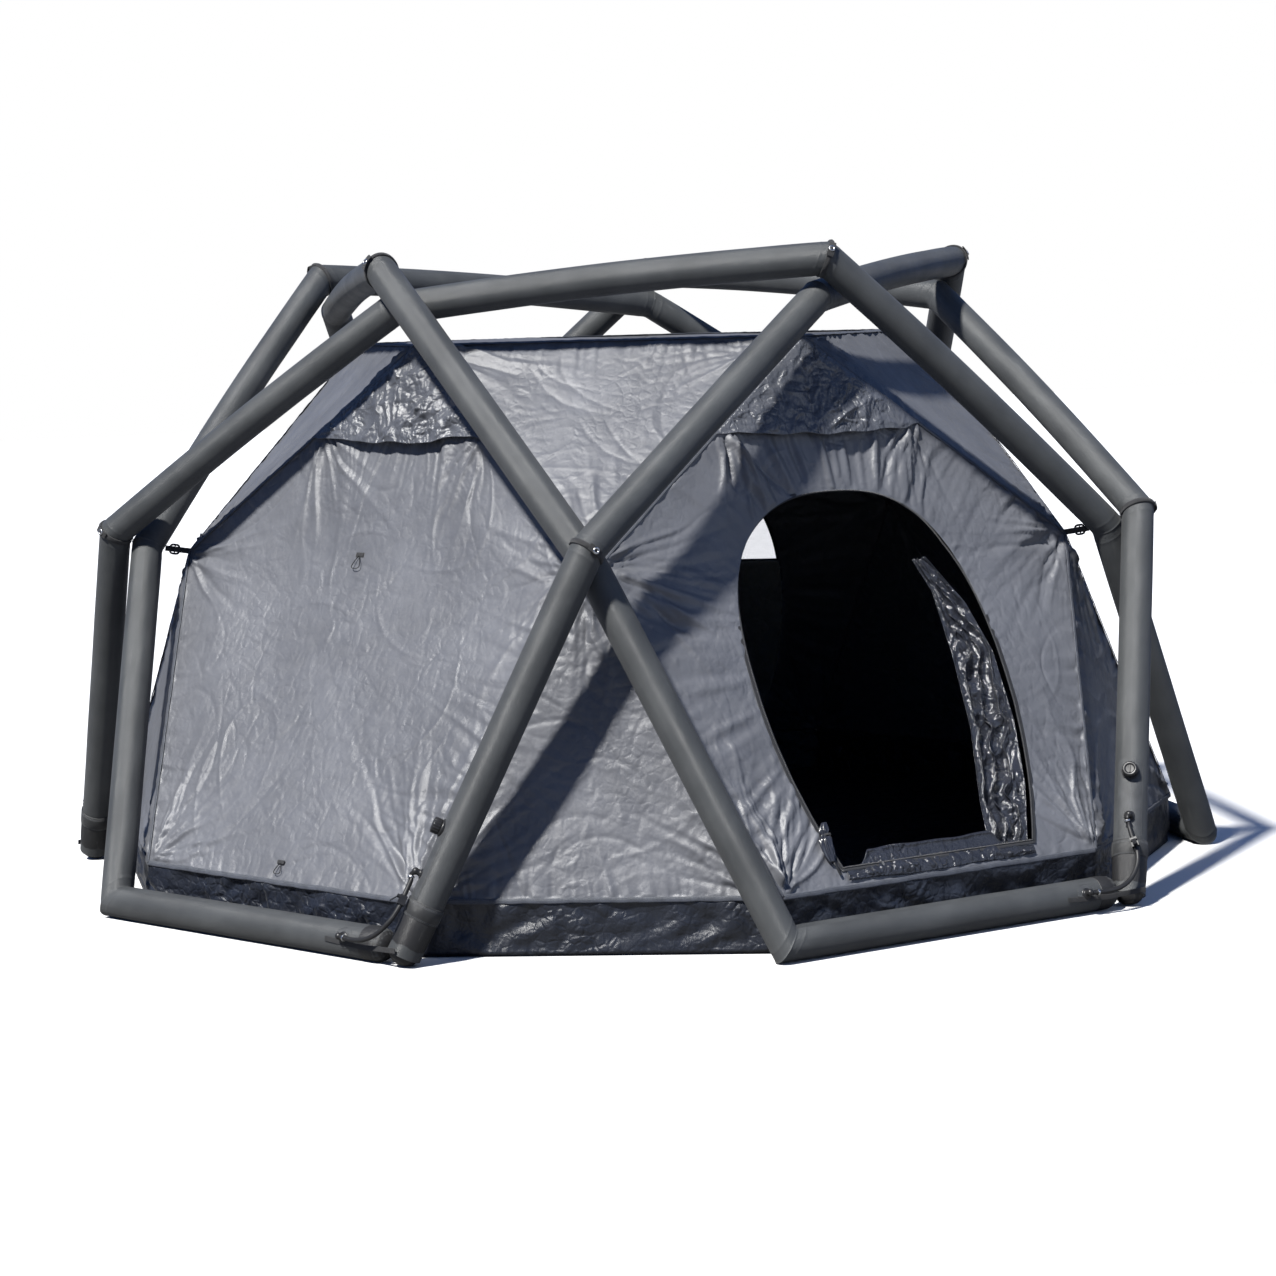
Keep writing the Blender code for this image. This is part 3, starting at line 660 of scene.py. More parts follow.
    def weave(self, pitch, depth):
        """A plain weave: warp and weft over and under each other."""
        u, v = self.split()
        turn = 2 * math.pi / pitch
        warp = self.maths("SINE", self.maths("MULTIPLY", u, turn))
        weft = self.maths("SINE", self.maths("MULTIPLY", v, turn))
        self.bump(self.maths("MULTIPLY", warp, weft), depth)

    def stitch_rows(self, rows, pitch=0.004, width=0.0006, thread=(0.16, 0.17, 0.18), base=None):
        """Rows of stitches along v, at those u, as relief and thread colour."""
        u, v = self.split()
        near = None
        for row in rows:
            gap = self.maths("ABSOLUTE", self.maths("SUBTRACT", u, row))
            near = gap if near is None else self.maths("MINIMUM", near, gap)
        line = self.span(near, width * 0.4, width, 1.0, 0.0)
        dash = self.span(self.maths("SINE", self.maths("MULTIPLY", v, 2 * math.pi / pitch)), -0.4, -0.1)
        seam = self.maths("MULTIPLY", line, dash)
        self.bump(seam, 0.0006)
        self.tint(self.mix_colour(seam, base or self.colour, thread))


def sleeve_cloth():
    """Dark grey coated polyester of the air beams."""
    made = Finish("sleeve_weave", (0.060, 0.065, 0.069), 0.42, Sheen_Weight=0.05, Sheen_Roughness=0.5)
    patches = made.span(made.noise(5.0, 4, 0.6), 0.30, 0.75)
    tone = made.mix_colour(patches, (0.045, 0.048, 0.050), (0.072, 0.076, 0.078))
    rubbed = made.span(made.noise(28.0, 5, 0.7, made.stretched((1.0, 0.18, 1.0))), 0.60, 0.78)
    made.tint(made.mix_colour(made.maths("MULTIPLY", rubbed, 0.35), tone, (0.17, 0.175, 0.175)))
    made.rough(made.span(made.noise(9.0, 3), 0.3, 0.7, 0.36, 0.47))
    made.bump(made.noise(22.0, 3, 0.55, made.stretched((1.0, 0.35, 1.0))), 0.0012)
    made.weave(0.0012, 0.00010)
    return made.material


def boot_cloth():
    """Rubberised cloth over the feet, scuffed along the leg."""
    made = Finish("boot_cloth", (0.020, 0.020, 0.021), 0.42)
    streaks = made.span(made.noise(70.0, 5, 0.75, made.stretched((1.0, 0.12, 1.0))), 0.56, 0.72)
    low = made.span(made.split()[1], 0.085, 0.030)
    worn = made.maths("MULTIPLY", streaks, made.maths("MULTIPLY_ADD", low, 0.6, 0.08))
    made.tint(made.mix_colour(worn, (0.022, 0.022, 0.023), (0.26, 0.25, 0.235)))
    made.rough(made.span(streaks, 0.0, 1.0, 0.40, 0.72))
    made.bump(made.noise(45.0, 4, 0.6, made.stretched((1.0, 0.3, 1.0))), 0.0012)
    made.weave(0.0014, 0.00012)
    return made.material


def webbing_cloth(name="webbing_weave", colour=(0.014, 0.014, 0.015)):
    """Ribbed polyester webbing."""
    made = Finish(name, colour, 0.62, Sheen_Weight=0.15)
    u, v = made.split()
    rib = made.maths("SINE", made.maths("MULTIPLY", made.maths("ADD", v, made.maths("MULTIPLY", u, 0.5)),
                                        2 * math.pi / 0.0016))
    cord = made.maths("SINE", made.maths("MULTIPLY", u, 2 * math.pi / 0.0022))
    made.bump(made.maths("MULTIPLY", rib, cord), 0.00025)
    light = tuple(c * 2.2 for c in colour)
    made.tint(made.mix_colour(made.span(made.noise(60.0, 4, 0.6), 0.35, 0.8), colour, light))
    return made.material


def tent_cloth(name, colour, deep=1.0, shine=0.34, coords="UV", scale=1.0):
    """Satin tent fabric: fine criss-cross creases, a plain weave and slight colour changes."""
    made = Finish(name, colour, shine, coords=coords, Specular_IOR_Level=0.8, Sheen_Weight=0.05,
                  Sheen_Roughness=0.35)
    wandering = made.bent(6.0 * scale, 0.05 / scale)
    long_cells = made.stretched((1.0, 0.85, 1.0), wandering)
    creases = made.span(made.cells(17.0 * scale, long_cells), 0.0, 0.16)
    fine = made.span(made.cells(46.0 * scale, made.bent(19.0 * scale, 0.02 / scale)), 0.0, 0.25)
    patch = made.span(made.noise(4.5 * scale, 3, 0.55), 0.35, 0.70, 0.25, 1.0)
    made.bump(made.noise(13.0 * scale, 4, 0.6, made.stretched((1.0, 0.6, 1.0), wandering)), 0.0040 * deep)
    made.bump(made.maths("MULTIPLY", creases, patch), 0.0016 * deep)
    made.bump(made.maths("MULTIPLY", fine, patch), 0.0008 * deep)
    made.weave(0.0009, 0.00005)
    light = tuple(c * 1.18 for c in colour)
    dark = tuple(c * 0.86 for c in colour)
    made.tint(made.mix_colour(made.span(made.noise(3.0 * scale, 5, 0.65), 0.3, 0.7), dark, light))
    made.rough(made.span(made.noise(26.0 * scale, 3), 0.3, 0.7, shine - 0.05, shine + 0.06))
    return made.material


def plastic(name, colour=(0.016, 0.016, 0.017), roughness=0.36, grain=700.0, depth=0.00006):
    """Moulded plastic or rubber with a fine grain and slight wear."""
    made = Finish(name, colour, roughness, coords="Object")
    made.bump(made.noise(grain, 3), depth)
    worn = made.span(made.noise(120.0, 5, 0.7), 0.58, 0.80, 0.0, 0.5)
    made.tint(made.mix_colour(worn, colour, tuple(c * 3.0 + 0.01 for c in colour)))
    made.rough(made.span(made.noise(90.0, 3), 0.3, 0.7, roughness - 0.06, roughness + 0.10))
    return made.material


def metal(name, colour, roughness):
    """Painted or plated small metal parts."""
    made = Finish(name, colour, roughness, coords="Object", Metallic=1.0)
    made.bump(made.noise(500.0, 3), 0.00004)
    made.rough(made.span(made.noise(160.0, 4, 0.6), 0.3, 0.7, roughness - 0.08, roughness + 0.15))
    return made.material


def net_cloth():
    """Fine see-through mesh: threads with open cells between them."""
    made = Finish("window_net", (0.020, 0.022, 0.024), 0.6)
    u, v = made.split()
    pitch = 0.0020
    threads = None
    for way in (u, v):
        wave_of = made.maths("ABSOLUTE", made.maths("SINE", made.maths("MULTIPLY", way, math.pi / pitch)))
        thread = made.span(wave_of, 0.22, 0.36, 1.0, 0.0)
        threads = thread if threads is None else made.maths("MAXIMUM", threads, thread)
    made.tree.links.new(threads, made.shader.inputs["Alpha"])
    made.tint(made.mix_colour(made.span(made.noise(40.0, 3), 0.3, 0.7), (0.016, 0.018, 0.020),
                              (0.040, 0.043, 0.047)))
    made.bump(threads, 0.0002)
    return made.material


def bladder_film():
    """Milky air-bladder film."""
    made = Finish("bladder_film", (0.55, 0.57, 0.60), 0.30, coords="Object")
    made.tint(made.mix_colour(made.span(made.noise(12.0, 4), 0.3, 0.7), (0.50, 0.52, 0.55),
                              (0.60, 0.62, 0.65)))
    made.bump(made.noise(60.0, 4), 0.0006)
    return made.material


def taped(name, colour, rows, roughness=0.45, pitch=0.004):
    """Tape or patch cloth with rows of stitches at those u."""
    made = Finish(name, colour, roughness, Sheen_Weight=0.08)
    made.bump(made.noise(70.0, 4, 0.6), 0.0004)
    made.weave(0.0010, 0.00008)
    tone = made.mix_colour(made.span(made.noise(30.0, 4, 0.6), 0.3, 0.7), tuple(c * 0.8 for c in colour),
                           tuple(c * 1.25 for c in colour))
    made.stitch_rows(rows, pitch=pitch, base=tone)
    return made.material


def zip_cloth():
    """Zip: woven tape with a coil down the middle."""
    made = Finish("zip_coil", (0.030, 0.031, 0.034), 0.36)
    u, v = made.split()
    teeth = made.maths("SINE", made.maths("MULTIPLY", v, 2 * math.pi / 0.0022))
    made.bump(teeth, 0.0004)
    # Painted shade and highlight: the colour follows the teeth's relief, dark in the troughs between teeth and light
    # on their tops.
    made.tint(made.mix_colour(made.span(teeth, -0.5, 0.8), (0.016, 0.016, 0.018), (0.075, 0.076, 0.080)))
    return made.material


SLEEVE = sleeve_cloth()
BOOT = boot_cloth()
WEBBING = webbing_cloth()
CLOTH_COLOUR = (0.116, 0.120, 0.134)
CLOTH = tent_cloth("tent_cloth", CLOTH_COLOUR, deep=0.55, shine=0.42)
CRUMPLED = tent_cloth("tent_cloth_crumpled", (0.085, 0.090, 0.105), deep=1.6, shine=0.27, scale=1.4)
# Painted shade: a much darker copy of the tent cloth for the sill lip, the flap and its bunch, standing in for the
# shade these parts lie in.
GLOSSY_PAINTED_SHADE_CLOTH = tent_cloth("tent_cloth_glossy", (0.022, 0.024, 0.032), deep=1.6, shine=0.21, scale=1.4)
TUB = tent_cloth("floor_cloth", (0.010, 0.013, 0.022), deep=1.6, shine=0.40)
# Painted light: the rear door's pale olive colour, far lighter than the rest of the tent cloth, stands in for
# daylight shining through it from behind.
OLIVE_PAINTED_BACKLIGHT = tent_cloth("rear_door_cloth", (0.36, 0.36, 0.32), deep=0.8, shine=0.42)
PLASTIC = plastic("black_plastic")
RUBBER = plastic("black_rubber", (0.014, 0.014, 0.015), 0.48, grain=900.0)
SILVER = metal("eyelet_metal", (0.62, 0.62, 0.61), 0.28)
DARK_METAL = metal("slider_metal", (0.10, 0.10, 0.11), 0.35)
THREAD = webbing_cloth("thread_grey", (0.11, 0.115, 0.12))
NET = net_cloth()
FILM = bladder_film()
ZIP = zip_cloth()
CUFF = taped("cuff_cloth", (0.028, 0.029, 0.030), (0.003, 0.0055, 0.0325, 0.035))
PATCH = taped("patch_cloth", (0.052, 0.055, 0.058), (0.0022, 0.0048))
SEAM_TAPE = taped("seam_tape", (0.062, 0.068, 0.085), (0.0024, 0.0058), pitch=0.0034)


# ---------------------------------------------------------------- air beams
SIDES = 56
BEAM = Tube(beam_points(), valve_direction(), SIDES)
LEG, LAST = 0, 5  # runs of a beam: the starting leg and the tube on the ground
BOW = (0.0, 0.008, 0.012, 0.008, 0.0, 0.0)  # how far each run arches outward at its middle
NEAR_SEAM = (0.0, 0.0011, 0.0022, 0.004, 0.007, 0.011, 0.016, 0.0228, 0.024, 0.0252, 0.034, 0.050)
FOOT_TO_VERTEX = (TUBE_RADIUS - FOOT_AXIS_HEIGHT) / leg_axis().z


def bowed(tube, run, share):
    """How far a run's centre line stands off its chord at a share of its length."""
    middle = (tube.points[run] + tube.points[run + 1]) / 2
    out = middle - np.array([0, 0, 0.35])
    out = out - tube.runs[run] * (out @ tube.runs[run])
    return unit(out) * BOW[run] * math.sin(math.pi * share)


def beam_skin(name, tube, radius, finish, detail=True, step=0.03):
    """One beam's skin from foot to ground end, with seams, puckers and a rounded end."""
    rows, along, total = [], [], 0.0
    count = len(tube.angles)
    for run, length in enumerate(tube.lengths):
        starts = [d for d in NEAR_SEAM] if run > 0 else [0.004]
        ends = [length - d for d in NEAR_SEAM[::-1]][:-1] if run < LAST else []
        low, high = starts[-1], ends[0] if ends else length - 0.032
        between = list(np.linspace(low, high, max(int((high - low) / step), 2))[1:-1])
        if run == LAST:
            ends = [high]
        if not detail:
            starts, ends = starts[:1], [high] if run == LAST else []
            between = list(np.linspace(0, length, 12)[1:-1])
        spokes = tube.spokes(run)
        for distance in [*starts, *between, *ends]:
            reach = np.full(count, radius)
            if detail:
                for seam, gap in ((run, distance), (run + 1, length - distance)):
                    if seam in (0, LAST + 1) or gap > 0.2:
                        continue
                    outward = unit(tube.runs[seam - 1] - tube.runs[seam])
                    inside = 0.5 * (1 - spokes @ outward)
                    gathers = wave(tube.angles * 26 / (2 * math.pi) + 26, 31 + seam) * inside
                    gathers += 0.35 * wave(tube.angles * 26 / (2 * math.pi) + 26, 77 + seam)
                    gathers *= smooth_step(np.minimum(tube.angles, 2 * math.pi - tube.angles), 0, 0.3)
                    reach += gathers * 0.0014 * math.exp(-gap / 0.020)
                    reach -= 0.0011 * math.exp(-gap / 0.030)
                    reach += 0.0010 * math.exp(-((gap / 0.0018) ** 2))
                    reach += 0.0004 * math.exp(-(((gap - 0.024) / 0.0012) ** 2))
                around = 6 + 2.5 * np.cos(tube.angles), 6 + 2.5 * np.sin(tube.angles)
                reach += 0.00035 * wave2(around[0] + (total + distance) * 9, around[1], 5)
            rows.append(tube.ring(run, distance, reach) + bowed(tube, run, distance / length))
            along.append(total + distance)
        total += length
    end = tube.lengths[LAST]
    for turn in np.radians((18, 36, 54, 70, 82)):
        back = 0.032 * (1 - math.sin(turn))
        pleats = 1 + 0.02 * np.cos(18 * tube.angles) * math.sin(turn)
        rows.append(tube.ring(LAST, end - back, radius * math.cos(turn) ** 0.75 * pleats))
        along.append(total - back)
    verts = np.concatenate(rows)
    faces = [tuple(f) for f in grid(len(rows), count, wrap=True)]
    uv = grid_uv(tube.angles * radius, np.array(along), wrap_u=2 * math.pi * radius)
    faces += [tuple(range(count))[::-1], tuple(range((len(rows) - 1) * count, len(rows) * count))]
    uv = np.concatenate([uv, np.zeros((2 * count, 2))])
    return put(name, verts, faces, finish, uv=uv, sharp=60)


def hoop(tube, stops, finish, name):
    """A closed band round the beam. stops are (run, distance, radius) along its outline."""
    rows = [tube.ring(run, distance, radius) + bowed(tube, run, distance / tube.lengths[run])
            for run, distance, radius in stops]
    count = len(tube.angles)
    across = np.concatenate([[0], np.cumsum([np.linalg.norm(a[0] - b[0]) for a, b in zip(rows, rows[1:])])])
    closed = rows + rows[:1]
    verts = np.concatenate(rows)
    faces = grid(len(closed), count, wrap=True) % len(verts)
    v = tube.angles * SKIN
    u2 = np.append(across, across[-1] + 0.002)[:, None] + np.zeros(count + 1)
    v2 = np.zeros(len(closed))[:, None] + np.append(v, 2 * math.pi * SKIN)[None, :]
    both = np.stack([u2, v2], -1)
    uv = np.stack([both[:-1, :-1], both[:-1, 1:], both[1:, 1:], both[1:, :-1]], 2).reshape(-1, 2)
    return put(name, verts, faces, finish, uv=uv, sharp=50)


def leg_band(name, start, width, radius, thickness, finish):
    """A band round the starting leg; start is its distance up from the foot vertex."""
    at = start + FOOT_TO_VERTEX
    soft = thickness * 0.45
    stops = [(0.0, -thickness), (0.0, -soft), (soft, 0.0), (width * 0.5, 0.0003), (width - soft, 0.0),
             (width, -soft), (width, -thickness)]
    return hoop(BEAM, [(LEG, at + d, radius + r) for d, r in stops], finish, name)


def seam_strap(name, corner, width=0.013, radius=SKIN + 0.0030):
    """A strap round the seam where the outer tube of a crossing bends."""
    half, low, soft = width / 2, SKIN + 0.0004, 0.0009
    before, after = corner - 1, corner
    end = BEAM.lengths[before]
    stops = [(before, end - half, low), (before, end - half, radius - soft),
             (before, end - half + soft, radius)]
    stops += [(after, 0.0, radius), (after, half - soft, radius), (after, half, radius - soft),
              (after, half, low)]
    return hoop(BEAM, stops, WEBBING, name)


def ring_at_corner(corner, direction, radius, reach):
    """Points round a corner's seam, reach radians to each side of a direction, and their outward directions."""
    run = corner
    centre = BEAM.points[corner]
    plane = BEAM.cut(run, 0)
    out = direction - plane * (direction @ plane)
    out = unit(out)
    across = np.cross(plane, out)
    turns = np.linspace(-reach, reach, 15)
    spokes = np.cos(turns)[:, None] * out + np.sin(turns)[:, None] * across
    way = BEAM.runs[run]
    flat = spokes - np.outer(spokes @ way, way)
    stretch = radius / np.linalg.norm(flat, axis=1)
    return centre + spokes * stretch[:, None], spokes, out, across, plane


def eyelet(name, corner, direction):
    """A short tab on a strap with a metal eyelet, and the eyelet's ring."""
    path, spokes, out, across, _ = ring_at_corner(corner, direction, SKIN + 0.0032, 0.40)
    verts, faces, uv = swept(path, strap_profile(0.0175, 0.0022, 0.0002), spokes)
    tab = put(name, verts, faces, WEBBING, uv=uv, sharp=45)
    middle = path[len(path) // 2] + out * 0.0020
    ring = [(0.0036, 0.0006), (0.0040, 0.0017), (0.0055, 0.0024), (0.0072, 0.0020), (0.0080, 0.0008),
            (0.0080, -0.0002), (0.0036, -0.0002)]
    place = frame_of(Vector(middle), Vector(across), Vector(out))
    part = placed(lathed(ring, 32), place)
    metal_ring = put(f"{name}_ring", part[0], part[1], SILVER, uv=part[2], sharp=50)
    # Painted shade: a thin black disc fills the eyelet's hole, standing in for the dark opening through it.
    hole = placed(lathed([(0, 0.0004), (0.0034, 0.0005), (0.0037, -0.0001), (0, -0.0002)], 24), place)
    dark = put(f"{name}_hole", hole[0], hole[1], PLASTIC, uv=hole[2])
    return [tab, metal_ring, dark]


def skin_patch(name, run, centre, angle, outline, finish, lift=0.0007, rows=16, thread=True):
    """Cloth sewn on the skin. outline(s, t) maps -1..1 squares to (along, round) metres from the centre."""
    s = np.linspace(-1, 1, rows)
    grid_s, grid_t = np.meshgrid(s, s, indexing="ij")
    along, around = outline(grid_s, grid_t)
    flat_along, flat_round = along.ravel(), around.ravel()
    edge = np.maximum(np.abs(grid_s), np.abs(grid_t)).ravel()
    height = SKIN + lift * smooth_step(1 - edge, -0.02, 0.10) + 0.0001
    angles = angle + flat_round / SKIN
    spokes = BEAM.spokes(run, angles)
    base = BEAM.points[run] + BEAM.runs[run] * (centre + flat_along)[:, None]
    verts = base + spokes * height[:, None]
    uv = grid_uv(around, along)
    made = [put(name, verts, grid(rows, rows), finish, uv=uv)]
    if thread:
        inner = 0.93
        loop = np.concatenate([
            np.stack([np.full(40, -inner), np.linspace(-inner, inner, 40)], 1),
            np.stack([np.linspace(-inner, inner, 40), np.full(40, inner)], 1),
            np.stack([np.full(40, inner), np.linspace(inner, -inner, 40)], 1),
            np.stack([np.linspace(inner, -inner, 40), np.full(40, -inner)], 1),
        ])
        a, r = outline(loop[:, 0], loop[:, 1])
        out = BEAM.spokes(run, angle + r / SKIN)
        path = BEAM.points[run] + BEAM.runs[run] * (centre + a)[:, None] + out * (SKIN + lift + 0.0002)
        part = stitches(path, out)
        made.append(put(f"{name}_thread", part[0], part[1], THREAD, uv=part[2]))
    return made


def round_cap(name, run, stops, finish, floor=None, pleats=0.0):
    """A closed cloth cap on a tube's end. stops are (distance along the run, radius)."""
    rows = []
    for distance, radius in stops:
        gathered = 1 + pleats * np.cos(14 * BEAM.angles + 3 * distance / 0.04) * (1 - radius / stops[-1][1])
        rows.append(BEAM.ring(run, distance, radius * gathered))
    verts = np.concatenate(rows)
    if floor is not None:
        verts[:, 2] = np.where(verts[:, 2] < floor + 0.004,
                               floor + 0.004 * np.exp((verts[:, 2] - floor - 0.004) / 0.004), verts[:, 2])
    count = len(BEAM.angles)
    along = np.array([s[0] for s in stops])
    faces = [tuple(f) for f in grid(len(rows), count, wrap=True)] + [tuple(range(count))[::-1]]
    uv = grid_uv(BEAM.angles * SKIN, along, wrap_u=2 * math.pi * SKIN)
    uv = np.concatenate([uv, np.zeros((count, 2))])
    return put(name, verts, faces, finish, uv=uv, sharp=60)


def add_beams():
    """Sleeves, bladders, boots, cuffs, straps, eyelets and patches of all five beams."""
    inner = Tube(beam_points(), valve_direction(), 20)

    def stand_for(piece, number):
        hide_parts(f"beam_{number}_sleeve")

    def stand_for_bladder(piece, number):
        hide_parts(f"beam_{number}_bladder")

    five("air_sleeve", lambda name: beam_skin(name, BEAM, SKIN, SLEEVE), after=stand_for)
    five("air_bladder", lambda name: beam_skin(name, inner, 0.0362, FILM, detail=False),
         after=stand_for_bladder)
    boot = [(-0.0175, 0.004), (-0.0165, 0.013), (-0.013, 0.0215), (-0.006, 0.0290), (0.005, 0.0345),
            (0.020, 0.0382),
            (0.040, 0.0400), (0.060, 0.0405), (0.080, 0.0407), (0.0925, 0.0408), (0.0945, 0.0404),
            (0.0950, 0.0392)]
    five("foot_boot", lambda name: round_cap(name, LEG, boot, BOOT, floor=0.0008, pleats=0.05))
    five("leg_cuff", lambda name: leg_band(name, 0.0715, 0.038, SKIN + 0.0031, 0.0022, CUFF))
    end = BEAM.lengths[LAST]
    cap = [(end + 0.0015, 0.003), (end + 0.0008, 0.012), (end - 0.003, 0.022), (end - 0.010, 0.0310),
           (end - 0.020, 0.0368),
           (end - 0.032, 0.0396), (end - 0.045, 0.0400), (end - 0.062, 0.0401), (end - 0.0635, 0.0398),
           (end - 0.064, 0.0388)]
    five("ground_end_cap", lambda name: round_cap(name, LAST, cap, BOOT, floor=0.0008, pleats=0.04))
    five("crossing_strap", lambda name: seam_strap(name, 1))
    five("ring_strap", lambda name: seam_strap(name, 3))

    start = cross_angle(0)
    side_out = np.array(polar(0.82, start, 0.10)) + np.array(polar(0.55, start + math.pi / 2, 0))
    top_angle = start + 3 * TURN / 2
    top_out = np.array(polar(0.93, top_angle, 0.30)) + np.array(polar(0.10, top_angle + math.pi / 2, 0))
    for base, corner, direction in (("crossing_eyelet", 1, side_out), ("ring_eyelet", 3, top_out)):
        firsts = eyelet(f"{base}_1", corner, direction)
        for index in range(1, FOLD):
            for first in firsts:
                copy_of(first, first.name.replace("_1", f"_{index + 1}", 1), turned(index))

    length, half = 0.194, 0.84
    firsts = skin_patch(
        "valve_patch_1", LEG, FOOT_TO_VERTEX + 0.112 + length / 2, 0.0,
        lambda s, t: (s * length / 2, t * half * SKIN), PATCH, rows=20)
    back, round_up = HOSE_NIPPLE
    spot = BEAM.lengths[LAST] + GROUND_END_SPACE - back
    tail = Vector(BEAM.runs[LAST])
    outward = tail.cross(Vector((0, 0, 1)))
    away = np.array(outward * math.cos(round_up) + Vector((0, 0, 1)) * math.sin(round_up))
    up = np.cross(BEAM.runs[LAST], BEAM.sides[LAST])
    angle = math.atan2(away @ up, away @ BEAM.sides[LAST])

    def disc(s, t):
        size = np.maximum(np.abs(s), np.abs(t))
        length_of = np.sqrt(s * s + t * t) + 1e-9
        return 0.026 * s * size / length_of, 0.026 * t * size / length_of

    firsts += skin_patch("nipple_patch_1", LAST, spot, angle, disc, PATCH, rows=13)
    for index in range(1, FOLD):
        for first in firsts:
            copy_of(first, first.name.replace("_1", f"_{index + 1}", 1), turned(index))


# ---------------------------------------------------------------- valves and hoses
def add_valves():
    """Valve bodies with a stepped flange and fluted screw caps."""
    body = [(0.0105, -0.004), (0.0205, -0.004), (0.0212, 0.0002), (0.0212, 0.0018), (0.0204, 0.0030),
            (0.0186, 0.0034),
            (0.0180, 0.0040), (0.0152, 0.0040), (0.0150, 0.0150), (0.0105, 0.0150)]

    def flutes(angle, radius, height):
        """Finger grips round the cap's skirt."""
        if radius < 0.0172:
            return radius
        return radius - 0.0013 * (0.5 + 0.5 * math.cos(16 * angle)) ** 1.5

    cap = [(0, 0.0205), (0.0050, 0.0206), (0.0095, 0.0207), (0.0108, 0.0222), (0.0125, 0.0232),
           (0.0150, 0.0231), (0.0168, 0.0222),
           (0.0182, 0.0208), (0.0184, 0.0150), (0.0184, 0.0075), (0.0180, 0.0062), (0.0174, 0.0046),
           (0.0158, 0.0044), (0.0156, 0.0155), (0, 0.0156)]
    place = valve_frame()
    part = placed(lathed(body, 48), place)

    def mark_body(piece, number):
        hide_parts(f"valve_{number}")

    def mark_cap(piece, number):
        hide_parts(f"valve_cap_{number}")

    five("air_valve", lambda name: put(name, part[0], part[1], PLASTIC, uv=part[2], sharp=35),
         after=mark_body)
    turned_cap = lathed(cap, 96, flutes)
    bar = swept([(-0.0085, 0, 0.0206), (0, 0, 0.0206), (0.0085, 0, 0.0206)], strap_profile(0.0035, 0.0022),
                (0, 0, 1))
    screw = placed(joined([turned_cap, bar]), place)
    five("screw_cap", lambda name: put(name, screw[0], screw[1], PLASTIC, uv=screw[2], sharp=35),
         body="valve_cap_{}", after=mark_cap)


def catmull(points, step):
    """Points about every step metres along a smooth curve through the given ones."""
    knots = [points[0] * 2 - points[1], *points, points[-1] * 2 - points[-2]]
    out = []
    for a, b, c, d in zip(knots, knots[1:], knots[2:], knots[3:]):
        count = max(round((c - b).length / step), 1)
        for i in range(count):
            t = i / count
            out.append(0.5 * (2 * b + (c - a) * t + (2 * a - 5 * b + 4 * c - d) * t**2
                              + (3 * b - a - 3 * c + d) * t**3))
    return [*out, points[-1]]


def add_hoses():
    """Link hoses between the beams with moulded elbows, rings and a clamp on each."""
    out = valve_direction()
    base = foot_vertex(0) + leg_axis() * HOSE_UP + out * TUBE_RADIUS * math.cos(math.pi / 12)
    top = base + out * HOSE_END_LENGTH
    tail = beam_points(-3)
    along = (tail[-1] - tail[-2]).normalized()
    back, round_up = HOSE_NIPPLE
    away = along.cross(Vector((0, 0, 1))) * math.cos(round_up) + Vector((0, 0, 1)) * math.sin(round_up)
    axis_point = foot_vertex(0) - along * back
    nipple = axis_point + away * TUBE_RADIUS
    bottom = nipple + away * HOSE_END_LENGTH
    line = catmull([top, *[foot_point(*p) for p in HOSE_ROUTE], bottom], 0.006)
    points = np.array(line)
    first_out = np.array(leg_axis())
    hose = swept(points, round_profile(HOSE_RADIUS, 16), first_out)

    def mark(piece, number):
        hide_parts(f"link_hose_{number}")

    five("air_hose", lambda name: put(name, hose[0], hose[1], RUBBER, uv=hose[2]), after=mark)
    flange = [(0, -0.001), (0.0125, -0.001), (0.0130, 0.0010), (0.0118, 0.0024), (0.0090, 0.0030),
              (0.0082, 0.0042)]
    ball = [(0.0084 * math.cos(t),
             HOSE_END_LENGTH + 0.0084 * math.sin(t)) for t in np.radians((-35, -10, 15, 40, 65))]
    elbow = lathed([*flange, *ball, (0, HOSE_END_LENGTH + 0.0084)], 28)
    ends = joined([placed(elbow, frame_of(base, leg_axis(), out)),
                   placed(elbow, frame_of(nipple, along, away))])
    five("hose_elbows", lambda name: put(name, ends[0], ends[1], PLASTIC, uv=ends[2], sharp=50))
    rings = []
    collar = [(0.0056, -0.0022), (0.0074, -0.0022), (0.0078, -0.0012), (0.0078, 0.0012), (0.0074, 0.0022),
              (0.0056, 0.0022)]
    for spot in (3, -4):
        way = Vector(points[spot + 1] - points[spot - 1]).normalized()
        side = way.orthogonal()
        rings.append(placed(lathed(collar, 24), frame_of(Vector(points[spot]), side, way)))
    both = joined(rings)
    five("hose_rings", lambda name: put(name, both[0], both[1], SILVER, uv=both[2], sharp=50))
    for number in range(1, FOLD + 1):
        for node in (f"hose_clamp_{number}", f"clamp_lever_{number}"):
            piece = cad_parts[node]
            piece.data.materials.clear()
            piece.data.materials.append(PLASTIC)
            bevel = piece.modifiers.new("Round", "BEVEL")
            bevel.width = 0.0009
            bevel.segments = 2
            bevel.limit_method = "ANGLE"


# ---------------------------------------------------------------- inner tent geometry
def apothem(height, bridge=0.0):
    """How far the side wall stands from the middle at a height. bridge rounds the fold at the corners' height."""
    apex = (APEX_RADIUS, APEX_HEIGHT)
    corner = (CORNER_RADIUS * math.cos(TURN / 2), CORNER_HEIGHT)
    hem = (HEM_RADIUS * math.cos(TURN / 2 - HEM_HALF_ANGLE), HEM_HEIGHT)
    upper = (corner[0] - apex[0]) / (apex[1] - corner[1])
    lower = (hem[0] - corner[0]) / (corner[1] - hem[1])
    rise = np.asarray(height, float) - CORNER_HEIGHT
    bend = (lower - upper) / 2
    return corner[0] - rise * (upper + lower) / 2 + bend * np.sqrt(rise * rise + np.asarray(bridge) ** 2)


